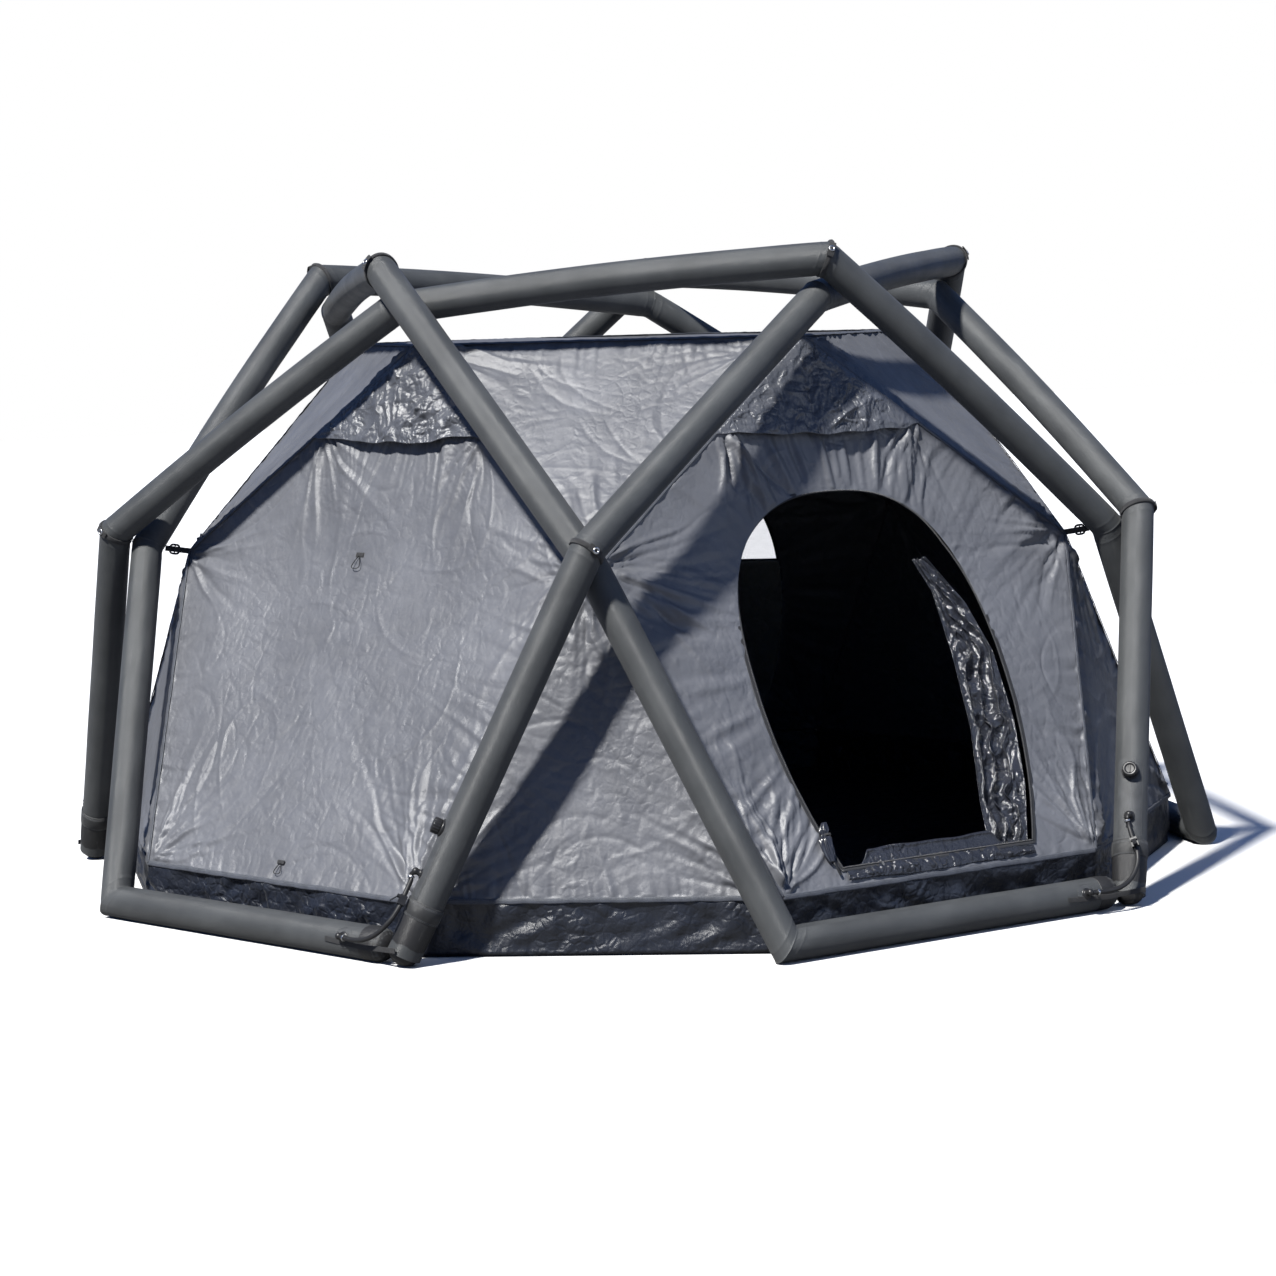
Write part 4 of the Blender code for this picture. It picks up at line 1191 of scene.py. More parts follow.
LOWER_LEAN = math.atan2(HEM_RADIUS * math.cos(TURN / 2 - HEM_HALF_ANGLE)
                        - CORNER_RADIUS * math.cos(TURN / 2), CORNER_HEIGHT - HEM_HEIGHT)
UPPER_LEAN = math.atan2(CORNER_RADIUS * math.cos(TURN / 2) - APEX_RADIUS, APEX_HEIGHT - CORNER_HEIGHT)


def wall_out(height):
    """Outward direction of wall 0 at each height."""
    share = smooth_step(np.asarray(height, float), CORNER_HEIGHT - 0.12, CORNER_HEIGHT + 0.12)
    lean = LOWER_LEAN + (UPPER_LEAN - LOWER_LEAN) * share
    return np.stack([0 * lean, -np.cos(lean), np.sin(lean)], -1)


def wall_points(x, z, out=0.0, bridge=0.0):
    """Points on wall 0 from across and height, out metres outside it."""
    x, z = np.broadcast_arrays(np.asarray(x, float), np.asarray(z, float))
    base = np.stack([x, -apothem(z, bridge), z], -1)
    return base + wall_out(z) * np.asarray(out, float)[..., None]


def flat_height(z):
    """Length up the wall's slope at a height, for the cloth's flat coordinates."""
    z = np.asarray(z, float)
    low = np.minimum(z, CORNER_HEIGHT) / math.cos(LOWER_LEAN)
    return low + np.maximum(z - CORNER_HEIGHT, 0) / math.cos(UPPER_LEAN)


CORNER_HALF = CORNER_RADIUS * math.sin(TURN / 2)
HEM_HALF = HEM_RADIUS * math.sin(TURN / 2 - HEM_HALF_ANGLE)


def half_width(z):
    """Half the width of a side wall at a height."""
    z = np.asarray(z, float)
    upper = CORNER_HALF * (APEX_HEIGHT - z) / (APEX_HEIGHT - CORNER_HEIGHT)
    lower = HEM_HALF + (CORNER_HALF - HEM_HALF) * (z - HEM_HEIGHT) / (CORNER_HEIGHT - HEM_HEIGHT)
    return np.minimum(upper, lower)


def wall_outline(top=VENT_HEIGHT):
    """Corners of a side wall in flat coordinates, across and up."""
    points = [(-half_width(top), top), (half_width(top), top), (CORNER_HALF, CORNER_HEIGHT),
              (HEM_HALF, HEM_HEIGHT),
              (-HEM_HALF, HEM_HEIGHT), (-CORNER_HALF, CORNER_HEIGHT)]
    return np.array(points, float)


# ---------------------------------------------------------------- cloth relief
def edge_gap(p, outline):
    """Distance of each point to the nearest edge of an outline."""
    best = np.full(len(p), 9.0)
    for a, b in zip(outline, np.roll(outline, -1, 0)):
        way = b - a
        t = np.clip(((p - a) @ way) / (way @ way), 0, 1)
        best = np.minimum(best, np.linalg.norm(p - a - t[:, None] * way, axis=1))
    return best


def puckers(p, a, b, depth, pitch, reach, seed):
    """Short wrinkles square to the seam from a to b."""
    a, b = np.array(a, float), np.array(b, float)
    way = (b - a) / np.linalg.norm(b - a)
    along = (p - a) @ way
    away = np.abs((p - a) @ np.array([-way[1], way[0]]))
    length = np.linalg.norm(b - a)
    inside = smooth_step(along, -0.02, 0.03) * smooth_step(length - along, -0.02, 0.03)
    lean = 0.35 * wave(along / (pitch * 5), seed + 3) * away
    own = reach * (0.55 + 0.45 * wave((along + lean) / pitch + 40, seed + 1))
    ripple = wave((along + lean) / pitch, seed) + 0.45 * wave((along + lean) / (pitch * 0.45), seed + 2)
    return depth * ripple * np.exp(-away / np.maximum(own, reach * 0.2)) * inside


def fan(p, centre, aim, spread, count, depth, length, seed, start=0.02):
    """Folds that run out from a point between aim - spread and aim + spread, in degrees."""
    rng = np.random.default_rng(seed)
    d = p - np.array(centre, float)
    far = np.linalg.norm(d, axis=1)
    total = np.zeros(len(p))
    count = int(count * 1.7)
    for k in range(count):
        angle = math.radians(aim - spread + 2 * spread * (k + rng.uniform(0.1, 0.9)) / count)
        way = np.array([math.cos(angle), math.sin(angle)])
        along = d @ way
        off = d @ np.array([-way[1], way[0]]) + 0.02 * wave(along / 0.12 + k * 7, seed + k)
        reach = length * rng.uniform(0.45, 1.0)
        width = 0.0034 + 0.017 * np.clip(along, 0, 1) * rng.uniform(0.6, 1.4)
        tall = depth * rng.uniform(0.4, 1.0)
        body = smooth_step(along, start * 0.3,
                           start * 2.5) * np.exp(-((np.maximum(along, 0) / reach) ** 2) * 1.6)
        total += tall * body * np.exp(-(np.abs(off / width) ** 1.5)) * rng.choice([1.0, 1.0, -0.8])
    return total * (far < length * 1.6)


def creases(p, count, depth, length, width, seed, outline, aim=None, spread=38.0, focus=None):
    """Straight sharp creases scattered over the cloth. focus is a list of (x, y, size) where they gather."""
    rng = np.random.default_rng(seed)
    low, high = outline.min(0), outline.max(0)
    total = np.zeros(len(p))
    for _ in range(count):
        if focus is not None and rng.random() < 0.75:
            x, y, size = focus[rng.integers(len(focus))]
            spot = np.array([x, y]) + rng.normal(0, size, 2)
        else:
            spot = rng.uniform(low, high)
        around = 180 * wave2(spot[0] * 2.1 + 11, spot[1] * 2.1 + 11, seed) if aim is None else aim
        angle = math.radians(float(around) + rng.uniform(-spread, spread))
        reach = rng.uniform(*length)
        thick = rng.uniform(*width)
        tall = depth * rng.uniform(0.35, 1.0) * rng.choice([1.0, -1.0])
        d = p - spot
        near = np.abs(d).max(1) < reach * 1.5
        d = d[near]
        way = np.array([math.cos(angle), math.sin(angle)])
        along = d @ way
        off = d @ np.array([-way[1], way[0]]) + rng.uniform(-1.2, 1.2) * along * along / max(reach, 0.05)
        total[near] += tall * np.exp(-np.abs(off / thick) ** 1.1) * np.exp(-((along / reach) ** 4) * 2)
    return total


def facets(p, count, depth, size, seed, outline):
    """Crumpled cloth: flat facets that meet in sharp folds."""
    rng = np.random.default_rng(seed)
    low, high = outline.min(0), outline.max(0)
    total = np.zeros(len(p))
    for _ in range(count):
        spot = rng.uniform(low, high)
        angle = rng.uniform(0, 2 * math.pi)
        way = np.array([math.cos(angle), math.sin(angle)])
        d = p - spot
        reach = size * rng.uniform(0.5, 1.3)
        across = d @ way
        fade = np.exp(-((d @ np.array([-way[1], way[0]])) / reach) ** 2) * np.exp(-((across / reach) ** 2))
        total += depth * rng.uniform(-1, 1) * (np.abs(across) / reach - 0.4) * fade
    return total


# ---------------------------------------------------------------- inner tent panels
def finish_cloth(piece, node, thickness=0.0008):
    """Gives a cloth panel its thickness and hides the CAD node it stands for."""
    thicken(piece, thickness)
    if node:
        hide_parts(node)


def wall_relief(p, edge, seed, outline, strong=1.0):
    """Relief of a closed side wall, from flat points."""
    top_left, top_right, right, low_right, low_left, left = outline
    h = -0.012 * smooth_step(edge, 0, 0.35)
    h += 0.006 * wave2(p[:, 0] * 3.3 + 9, p[:, 1] * 3.3, seed) * smooth_step(edge, 0, 0.2)
    h += puckers(p, left, low_left, 0.0034, 0.017, 0.060, seed + 1)
    h += puckers(p, right, low_right, 0.0072, 0.016, 0.17, seed + 2)
    h += puckers(p, top_left, left, 0.0036, 0.020, 0.050, seed + 3)
    h += puckers(p, top_right, right, 0.0036, 0.020, 0.055, seed + 4)
    h += puckers(p, low_left, low_right, 0.0036, 0.024, 0.045, seed + 5)
    h += puckers(p, top_left, top_right, 0.0070, 0.019, 0.16, seed + 6)
    h += fan(p, low_right, 112, 36, 15, 0.0090, 0.50, seed + 7)
    h += fan(p, low_left, 52, 38, 11, 0.0065, 0.34, seed + 8)
    h += fan(p, left, -18, 34, 10, 0.0060, 0.30, seed + 9)
    h += fan(p, right, 198, 34, 10, 0.0065, 0.34, seed + 10)
    h += fan(p, top_left, -62, 34, 9, 0.0070, 0.34, seed + 11)
    h += fan(p, top_right, 244, 34, 8, 0.0060, 0.30, seed + 12)
    low = (outline[3] + outline[4]) / 2
    gather = [(low[0] - 0.18, low[1] + 0.20, 0.16), (0.0, low[1] + 0.42, 0.20), (0.2, low[1] + 0.2, 0.15),
              (-0.05, low[1] + 0.62, 0.16)]
    h += creases(p, int(620 * strong), 0.0011, (0.012, 0.055), (0.0024, 0.0042), seed + 13, outline,
                 focus=gather, spread=60.0)
    h += creases(p, int(240 * strong), 0.0011, (0.015, 0.060), (0.0026, 0.0046), seed + 15, outline)
    h += creases(p, int(46 * strong), 0.0026, (0.08, 0.24), (0.0040, 0.0080), seed + 14, outline)
    return h * smooth_step(edge, 0.0015, 0.010)


def add_side_walls():
    """The three closed side walls, each one taut sheet folded gently at its corners' height."""
    flat_outline = wall_outline()
    flat_outline[:, 1] = flat_height(flat_outline[:, 1])
    for name, index, pitch, seed in (("side_wall_1", 1, 0.0085, 100), ("side_wall_2", 3, 0.0085, 200),
                                     ("side_wall_3", 4, 0.0040, 300)):
        columns = int(2 * CORNER_HALF / pitch)
        upper = int((VENT_HEIGHT - CORNER_HEIGHT) / pitch)
        lower = int((CORNER_HEIGHT - HEM_HEIGHT) / pitch)
        heights = np.concatenate([np.linspace(HEM_HEIGHT, CORNER_HEIGHT, lower),
                                  np.linspace(CORNER_HEIGHT, VENT_HEIGHT, upper)[1:]])
        share = np.linspace(-1, 1, columns)
        x = share[None, :] * (half_width(heights)[:, None] - 0.0008)
        z = heights[:, None] + 0 * x
        flat = np.stack([x.ravel(), flat_height(z).ravel()], 1)
        edge = edge_gap(flat, flat_outline)
        relief = wall_relief(flat, edge, seed, flat_outline)
        bridge = 0.16 * smooth_step(edge, 0, 0.16)
        verts = wall_points(x.ravel(), z.ravel(), relief, bridge)
        turn = np.array(turned(index))[:3, :3]
        piece = put(f"{name}_cloth", verts @ turn.T, grid(len(heights), columns), CLOTH,
                    uv=grid_uv(flat[:, 0].reshape(x.shape), flat[:, 1].reshape(x.shape)))
        finish_cloth(piece, name)


def door_curve(count=420):
    """The entrance's outline, evenly spaced, from the middle of the sill to the right and round."""
    right = [(0.0, DOOR_SILL)]
    for below in np.linspace(1, 0, 30)[:-1]:
        right.append((DOOR_HALF_WIDTH - (DOOR_HALF_WIDTH - DOOR_SILL_HALF_WIDTH) * below**2,
                      DOOR_WIDE - (DOOR_WIDE - DOOR_SILL) * below))
    for angle in np.linspace(0, math.pi / 2, 60):
        c, s = max(math.cos(angle), 0), math.sin(angle)
        right.append((DOOR_HALF_WIDTH * c ** (2 / DOOR_ARCH_POWER),
                      DOOR_WIDE + (DOOR_TOP - DOOR_WIDE) * s ** (2 / DOOR_ARCH_POWER)))
    loop = np.array(right + [(-x, z) for x, z in reversed(right[1:-1])])
    corner = np.array([DOOR_SILL_HALF_WIDTH, DOOR_SILL])
    loop = np.concatenate([loop, loop[:1]])
    along = np.concatenate([[0], np.cumsum(np.linalg.norm(np.diff(loop, axis=0), axis=1))])
    at = np.linspace(0, along[-1], count + 1)[:-1]
    for target in (along[np.argmin(np.linalg.norm(loop - corner, axis=1))],
                   along[np.argmin(np.linalg.norm(loop - corner * [-1, 1], axis=1))]):
        at[np.argmin(np.abs(at - target))] = target
    return np.stack([np.interp(at, along, loop[:, k]) for k in range(2)], 1)


def ray_to_outline(centre, direction, outline):
    """Where a ray from the centre meets the outline."""
    best = None
    for a, b in zip(outline, np.roll(outline, -1, 0)):
        m = np.array([direction, a - b]).T
        if abs(np.linalg.det(m)) < 1e-12:
            continue
        t, s = np.linalg.solve(m, a - centre)
        if t > 0 and -1e-9 <= s <= 1 + 1e-9 and (best is None or t < best):
            best = t
    return centre + direction * best


def doorway_wall(name, index, seed, count, rows, strong):
    """A wall with the egg-shaped opening: rings from the zip out to the seams."""
    outline = wall_outline()
    inner = door_curve(count)
    centre = np.array([0.0, 0.56])
    outer = np.array([ray_to_outline(centre, unit(p - centre), outline) for p in inner])
    for corner in outline:
        outer[np.argmin(np.linalg.norm(outer - corner, axis=1))] = corner
    share = np.linspace(0, 1, rows) ** 1.15
    flat = inner[None] + (outer - inner)[None] * share[:, None, None]
    x, z = flat[..., 0].ravel(), flat[..., 1].ravel()
    p = np.stack([x, flat_height(z)], 1)
    flat_outline = outline.copy()
    flat_outline[:, 1] = flat_height(outline[:, 1])
    edge = edge_gap(p, flat_outline)
    from_door = np.linalg.norm(flat - inner[None], axis=2).ravel()
    around = np.concatenate([[0], np.cumsum(np.linalg.norm(np.diff(inner, axis=0), axis=1))])
    around = np.tile(around, rows)
    girth = np.linalg.norm(np.diff(np.concatenate([inner, inner[:1]]), axis=0), axis=1).sum()
    top_left, top_right, right, low_right, low_left, left = flat_outline
    total = np.linalg.norm(np.repeat((outer - inner)[None], rows, 0), axis=2).ravel()
    middle = np.sin(math.pi * np.clip(from_door / total, 0, 1))
    turning = 0.010 * np.sin(from_door * 9 + 3)
    seam_fade = smooth_step(np.minimum(around, girth - around), 0, 0.05)
    radial = 1 - 2 * np.abs(wave((around + turning) / 0.030, seed)) + 0.6 * wave((around + turning) / 0.013,
            seed + 1)
    above = np.exp(-(((np.abs(x) - 0.02) / 0.24) ** 2)) * smooth_step(z, 0.86, 1.0)
    left_side = smooth_step(-x, 0.05, 0.30) * smooth_step(z, 0.15, 0.35) * (1 - smooth_step(z, 0.75, 0.95))
    right_side = smooth_step(x, 0.1, 0.33) * smooth_step(z, 0.2, 0.35)
    h = radial * seam_fade * middle * (0.0100 * above + 0.0050 * left_side + 0.0020 * right_side)
    ripple = wave(around / 0.011, seed + 2) * seam_fade
    h += 0.0026 * ripple * np.exp(-from_door / 0.026)
    h += 0.004 * wave2(x * 4 + 9, z * 4, seed) * smooth_step(np.minimum(edge, from_door), 0, 0.12)
    h += puckers(p, left, low_left, 0.0048, 0.017, 0.070, seed + 3)
    h += puckers(p, right, low_right, 0.0060, 0.015, 0.065, seed + 4)
    h += puckers(p, top_left, left, 0.0042, 0.019, 0.065, seed + 5)
    h += puckers(p, top_right, right, 0.0060, 0.018, 0.080, seed + 6)
    h += puckers(p, top_left, top_right, 0.0065, 0.020, 0.10, seed + 7)
    h += puckers(p, low_left, low_right, 0.0032, 0.022, 0.035, seed + 8)
    h += fan(p, low_left, 78, 42, 16, 0.0105, 0.40, seed + 9)
    h += fan(p, low_right, 104, 42, 14, 0.0085, 0.36, seed + 10)
    h += fan(p, right, 200, 38, 13, 0.0095, 0.32, seed + 11)
    h += fan(p, left, -16, 38, 14, 0.0095, 0.40, seed + 12)
    h += fan(p, top_left, -78, 30, 9, 0.0100, 0.30, seed + 13)
    h += fan(p, top_right, 258, 30, 9, 0.0100, 0.30, seed + 14)
    gather = [(-0.45, 0.62, 0.13), (-0.42, 0.38, 0.12), (0.45, 0.75, 0.10), (0.42, 0.35, 0.12),
              (0.0, 1.15, 0.12)]
    h += creases(p, int(420 * strong), 0.0015, (0.012, 0.055), (0.0026, 0.0046), seed + 15, flat_outline,
                 focus=gather)
    h += creases(p, int(40 * strong), 0.0034, (0.08, 0.22), (0.0040, 0.0085), seed + 16, flat_outline)
    h *= smooth_step(edge, 0.0015, 0.010) * smooth_step(from_door, -0.004, 0.012)
    bridge = 0.12 * smooth_step(edge, 0, 0.16)
    verts = wall_points(x, z, h, bridge)
    turn = np.array(turned(index))[:3, :3]
    closed = grid(rows, len(inner), wrap=True)
    uv = np.stack([x, flat_height(z)], 1)[closed.ravel()]
    piece = put(f"{name}_cloth", verts @ turn.T, closed, CLOTH, uv=uv)
    finish_cloth(piece, name)
    return piece


def barycentric(a, b, c, count):
    """Points and faces of a triangle cut into count rows."""
    verts, faces, index = [], [], {}
    for i in range(count + 1):
        for j in range(count + 1 - i):
            index[i, j] = len(verts)
            verts.append((i, j))
    ij = np.array(verts, float) / count
    points = np.asarray(a) + np.outer(ij[:, 0], np.asarray(b) - a) + np.outer(ij[:, 1], np.asarray(c) - a)
    for i in range(count):
        for j in range(count - i):
            faces.append((index[i, j], index[i + 1, j], index[i, j + 1]))
            if i + j < count - 1:
                faces.append((index[i + 1, j], index[i + 1, j + 1], index[i, j + 1]))
    return points, faces


def triangle_panel(a, b, c, count, relief, sag=0.0):
    """A cloth triangle in space. relief(flat, edge, outline) is its height above the plane."""
    a, b, c = (np.array(p, float) for p in (a, b, c))
    x = unit(b - a)
    normal = unit(np.cross(b - a, c - a))
    y = np.cross(normal, x)
    outline = np.array([(0, 0), ((b - a) @ x, (b - a) @ y), ((c - a) @ x, (c - a) @ y)])
    flat, faces = barycentric(outline[0], outline[1], outline[2], count)
    edge = edge_gap(flat, outline)
    h = relief(flat, edge, outline) * smooth_step(edge, 0.0015, 0.010) + sag * smooth_step(edge, 0, 0.3)
    verts = a + flat[:, :1] * x + flat[:, 1:] * y + h[:, None] * normal
    uv = flat[np.array(faces).ravel()]
    return verts, faces, uv


def side_triangle_relief(seed, deep):
    """Relief of a roof side or a corner panel."""
    def relief(p, edge, outline):
        a, b, c = outline
        h = 0.004 * wave2(p[:, 0] * 4 + 7, p[:, 1] * 4 + 3, seed) * smooth_step(edge, 0, 0.15)
        for k, (low, high) in enumerate(((a, b), (b, c), (c, a))):
            h += puckers(p, low, high, 0.0046 * deep, 0.017, 0.065, seed + k)
        for k, corner in enumerate((a, b, c)):
            aim = math.degrees(math.atan2(*((a + b + c) / 3 - corner)[::-1]))
            h += fan(p, corner, aim, 22, 9, 0.0075 * deep, 0.36, seed + 10 + k)
        h += creases(p, int(420 * deep), 0.0011 * deep, (0.012, 0.060), (0.0028, 0.0050), seed + 20, outline)
        h += creases(p, int(34 * deep), 0.0026 * deep, (0.08, 0.25), (0.0040, 0.0085), seed + 21, outline)
        return h
    return relief


def add_roof():
    """Flat top with five triangles falling from its sides, as one sewn piece."""
    apexes = [np.array(polar(APEX_RADIUS, wall_angle(i), APEX_HEIGHT)) for i in range(FOLD)]
    corners = [np.array(polar(CORNER_RADIUS, cross_angle(i + 1), CORNER_HEIGHT)) for i in range(FOLD)]
    middle = np.array([0, 0, APEX_HEIGHT])
    parts = []
    for i in range(FOLD):
        rows = 190 if i == 4 else 100
        parts.append(triangle_panel(apexes[i], corners[i], apexes[(i + 1) % FOLD], rows,
                                    side_triangle_relief(400 + 40 * i, 1.0), sag=-0.004))
        top, faces = barycentric((0.0, 0.0), (1.0, 0.0), (0.0, 1.0), 46)
        span = middle + top[:, :1] * (apexes[i] - middle) + top[:, 1:] * (apexes[(i + 1) % FOLD] - middle)
        rim = 1 - top.sum(1)
        h = -0.020 * smooth_step(rim, 0, 0.8)
        outline = np.array([(-0.8, -0.8), (0.8, 0.8)])
        ripple = creases(span[:, :2], 90, 0.0030, (0.04, 0.20), (0.008, 0.018), 640, outline)
        ripple += 0.006 * wave2(span[:, 0] * 5 + 20, span[:, 1] * 5 + 20, 641)
        h += ripple * smooth_step(rim, 0.0, 0.03)
        span[:, 2] += h
        parts.append((span, faces, span[np.array(faces).ravel(), :2]))
    verts, faces, uv = joined(parts)
    piece = put("roof_cloth", verts, faces, CLOTH, uv=uv)
    finish_cloth(piece,
                 "roof")


def add_corner_panels():
    """Triangles from each hung corner down to the hem."""
    for i in range(FOLD):
        angle = cross_angle(i)
        corner = polar(CORNER_RADIUS, angle, CORNER_HEIGHT)
        left, right = (polar(HEM_RADIUS, angle + side * HEM_HALF_ANGLE, HEM_HEIGHT) for side in (-1, 1))
        part = triangle_panel(left, right, corner, 170 if i == 0 else 90,
                              side_triangle_relief(700 + 30 * i, 1.15), sag=-0.006)
        piece = put(f"corner_panel_{i + 1}_cloth", part[0], part[1], CLOTH, uv=part[2])
        finish_cloth(piece,
                     f"corner_panel_{i + 1}")


def add_hoods():
    """Crumpled vent hoods over the top of each wall, standing off along their lower edge."""
    side = float(half_width(HOOD_EDGE_HEIGHT)) - 0.002
    outline = np.array([(-side, flat_height(HOOD_EDGE_HEIGHT)), (side, flat_height(HOOD_EDGE_HEIGHT)),
                        (0, flat_height(APEX_HEIGHT - 0.004))])
    for i in range(FOLD):
        seed = 900 + 20 * i
        flat, faces = barycentric(outline[0], outline[1], outline[2], 150 if i in (0, 4) else 90)
        rise = (flat[:, 1] - outline[0, 1]) / (outline[2, 1] - outline[0, 1])
        z = HOOD_EDGE_HEIGHT + (APEX_HEIGHT - 0.004 - HOOD_EDGE_HEIGHT) * rise
        x = flat[:, 0]
        wide = side * (1 - rise) + 1e-6
        across = np.clip(np.abs(x) / wide, 0, 1)
        lift = HOOD_STAND * 0.7 + (HOOD_LIFT - HOOD_STAND) * (1 - across**2) * (1 - rise) ** 0.8
        from_sides = np.minimum(side * (1 - rise) - np.abs(x), 9) * 0.6
        loose = smooth_step(from_sides, 0.001, 0.03)
        crumple = facets(flat, 90, 0.0150, 0.045, seed, outline)
        crumple += creases(flat, 170, 0.0044, (0.010, 0.05), (0.0030, 0.0060), seed + 1, outline, spread=80.0)
        crumple += fan(flat, (0.0, outline[0, 1] + 0.02), 60, 55, 9, 0.007, 0.16, seed + 2)
        crumple += fan(flat, (0.03, outline[0, 1] + 0.01), 40, 30, 6, 0.006, 0.20, seed + 3)
        hem = smooth_step(flat[:, 1] - outline[0, 1], 0.0, 0.012)
        drop = 0.010 * wave(x / 0.06 + 5, seed + 4) * (1 - rise) ** 6
        lift = np.maximum(lift + crumple * loose * (0.35 + 0.65 * hem), 0.003)
        verts = wall_points(x, z - 0.012 * (1 - across**2) * (1 - rise) ** 4 + drop * loose, lift)
        turn = np.array(turned(i))[:3, :3]
        piece = put(f"vent_hood_{i + 1}_cloth", verts @ turn.T, faces, CRUMPLED,
                    uv=flat[np.array(faces).ravel()])
        finish_cloth(piece, f"vent_hood_{i + 1}")


def add_tub():
    """Bathtub floor: a slack dark sheet with a low crumpled wall round it."""
    corners = []
    for i in range(FOLD):
        for side in (-1, 1):
            corners.append(np.array(polar(HEM_RADIUS, cross_angle(i) + side * HEM_HALF_ANGLE, 0))[:2])
    corners = np.array(corners)
    loop = np.concatenate([corners, corners[:1]])
    along = np.concatenate([[0], np.cumsum(np.linalg.norm(np.diff(loop, axis=0), axis=1))])
    count = 700
    at = np.linspace(0, along[-1], count + 1)[:-1]
    for target in along[:-1]:
        at[np.argmin(np.abs(at - target))] = target
    ring = np.stack([np.interp(at, along, loop[:, k]) for k in range(2)], 1)
    out = ring / np.linalg.norm(ring, axis=1)[:, None]
    rows, uv_v = [], []
    top = HEM_HEIGHT - 0.002
    period = along[-1]
    for share in np.linspace(1, 0, 15):
        z = 0.004 + (top - 0.004) * share
        body = math.sin(math.pi * share) ** 0.7
        folds = wave2(20 + at / 0.055 + 0.8 * np.sin(share * 5 + at * 3), share * 2.2 + 0 * at, 51)
        folds += 0.6 * wave2(20 + at / 0.022, share * 3.5 + at * 2, 52)
        folds *= smooth_step(np.minimum(at, period - at), 0, 0.05)
        push = (0.010 * folds - 0.004) * body - 0.006 * (1 - share) ** 3
        rows.append(np.concatenate([ring + out * push[:, None], np.full((count, 1), z)], 1))
        uv_v.append(share * 0.13)
    for share in (0.985, 0.96, 0.92, 0.86, 0.78, 0.7, 0.6, 0.5, 0.4, 0.3, 0.2, 0.1, 0.03):
        z = 0.0035 + 0.003 * np.abs(wave2(ring[:, 0] * share * 7 + 30, ring[:, 1] * share * 7 + 30, 53))
        rows.append(np.concatenate([ring * share, z[:, None]], 1))
        uv_v.append(-(1 - share) * 1.3)
    verts = np.concatenate(rows)
    piece = put("floor_tub", verts, grid(len(rows), count, wrap=True), TUB,
                uv=grid_uv(at, np.array(uv_v), wrap_u=period))
    thicken(piece, 0.0008, offset=1.0)
    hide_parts("bathtub_floor")


# ---------------------------------------------------------------- inner tent details
def door_width(z):
    """Half the entrance's width at a height."""
    z = np.asarray(z, float)
    below = np.clip((DOOR_WIDE - z) / (DOOR_WIDE - DOOR_SILL), 0, 1)
    low = DOOR_HALF_WIDTH - (DOOR_HALF_WIDTH - DOOR_SILL_HALF_WIDTH) * below**2
    above = np.clip((z - DOOR_WIDE) / (DOOR_TOP - DOOR_WIDE), 0, 1)
    arch = np.arcsin(above ** (DOOR_ARCH_POWER / 2))
    return np.where(z < DOOR_WIDE, low, DOOR_HALF_WIDTH * np.cos(arch) ** (2 / DOOR_ARCH_POWER))


def rear_pane(name, heights, finish, out, relief, columns=90):
    """A sheet that fills the rear entrance's outline between two heights."""
    share = np.linspace(-1, 1, columns)
    x = share[None, :] * (door_width(heights)[:, None] + 0.002)
    z = heights[:, None] + 0 * x
    inside = (1 - np.abs(share[None, :]) ** 6) * np.sin(math.pi * np.linspace(0, 1, len(heights)))[:,
            None] ** 0.3
    verts = wall_points(x.ravel(), z.ravel(), (out + relief(x, z) * inside).ravel())
    turn = np.array(turned(2))[:3, :3]
    uv = grid_uv(x, flat_height(z))
    return put(name, verts @ turn.T, grid(len(heights), columns), finish, uv=uv)


def add_rear_entrance():
    """The rear entrance closed by its zip: cloth below, see-through net above."""
    def slack(x, z):
        return 0.004 * wave2(x * 9 + 20, z * 6, 801) + 0.003 * wave2(x * 26 + 20, z * 9, 802)

    def taut(x, z):
        return 0.002 * wave2(x * 8 + 20, z * 6, 803)

    # Painted light: the closed rear door is given the pale cloth that stands in for daylight shining through it.
    door = rear_pane("rear_door_cloth", np.linspace(DOOR_SILL - 0.002, WINDOW_SILL + 0.004, 60), OLIVE_PAINTED_BACKLIGHT,
                     -0.004, slack)
    thicken(door, 0.0007)
    arch = np.linspace(math.asin(((WINDOW_SILL - DOOR_WIDE) / (DOOR_TOP - DOOR_WIDE)) ** (DOOR_ARCH_POWER
            / 2)), math.pi / 2 * 0.985, 46)
    heights = DOOR_WIDE + (DOOR_TOP - DOOR_WIDE) * np.sin(arch) ** (2 / DOOR_ARCH_POWER)
    net = rear_pane("rear_window_net", heights, NET, -0.002, taut)
    thicken(net, 0.0004)
    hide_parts("rear_window_mesh")
    line = np.linspace(-1, 1, 90) * float(door_width(WINDOW_SILL))
    turn = np.array(turned(2))[:3, :3]
    bar = swept(wall_points(line, WINDOW_SILL + 0 * line, 0.0006) @ turn.T,
                strap_profile(0.016, 0.0014, 0.0008), wall_out(WINDOW_SILL) @ turn.T)
    put("rear_window_band", *bar[:2], SEAM_TAPE, uv=bar[2])


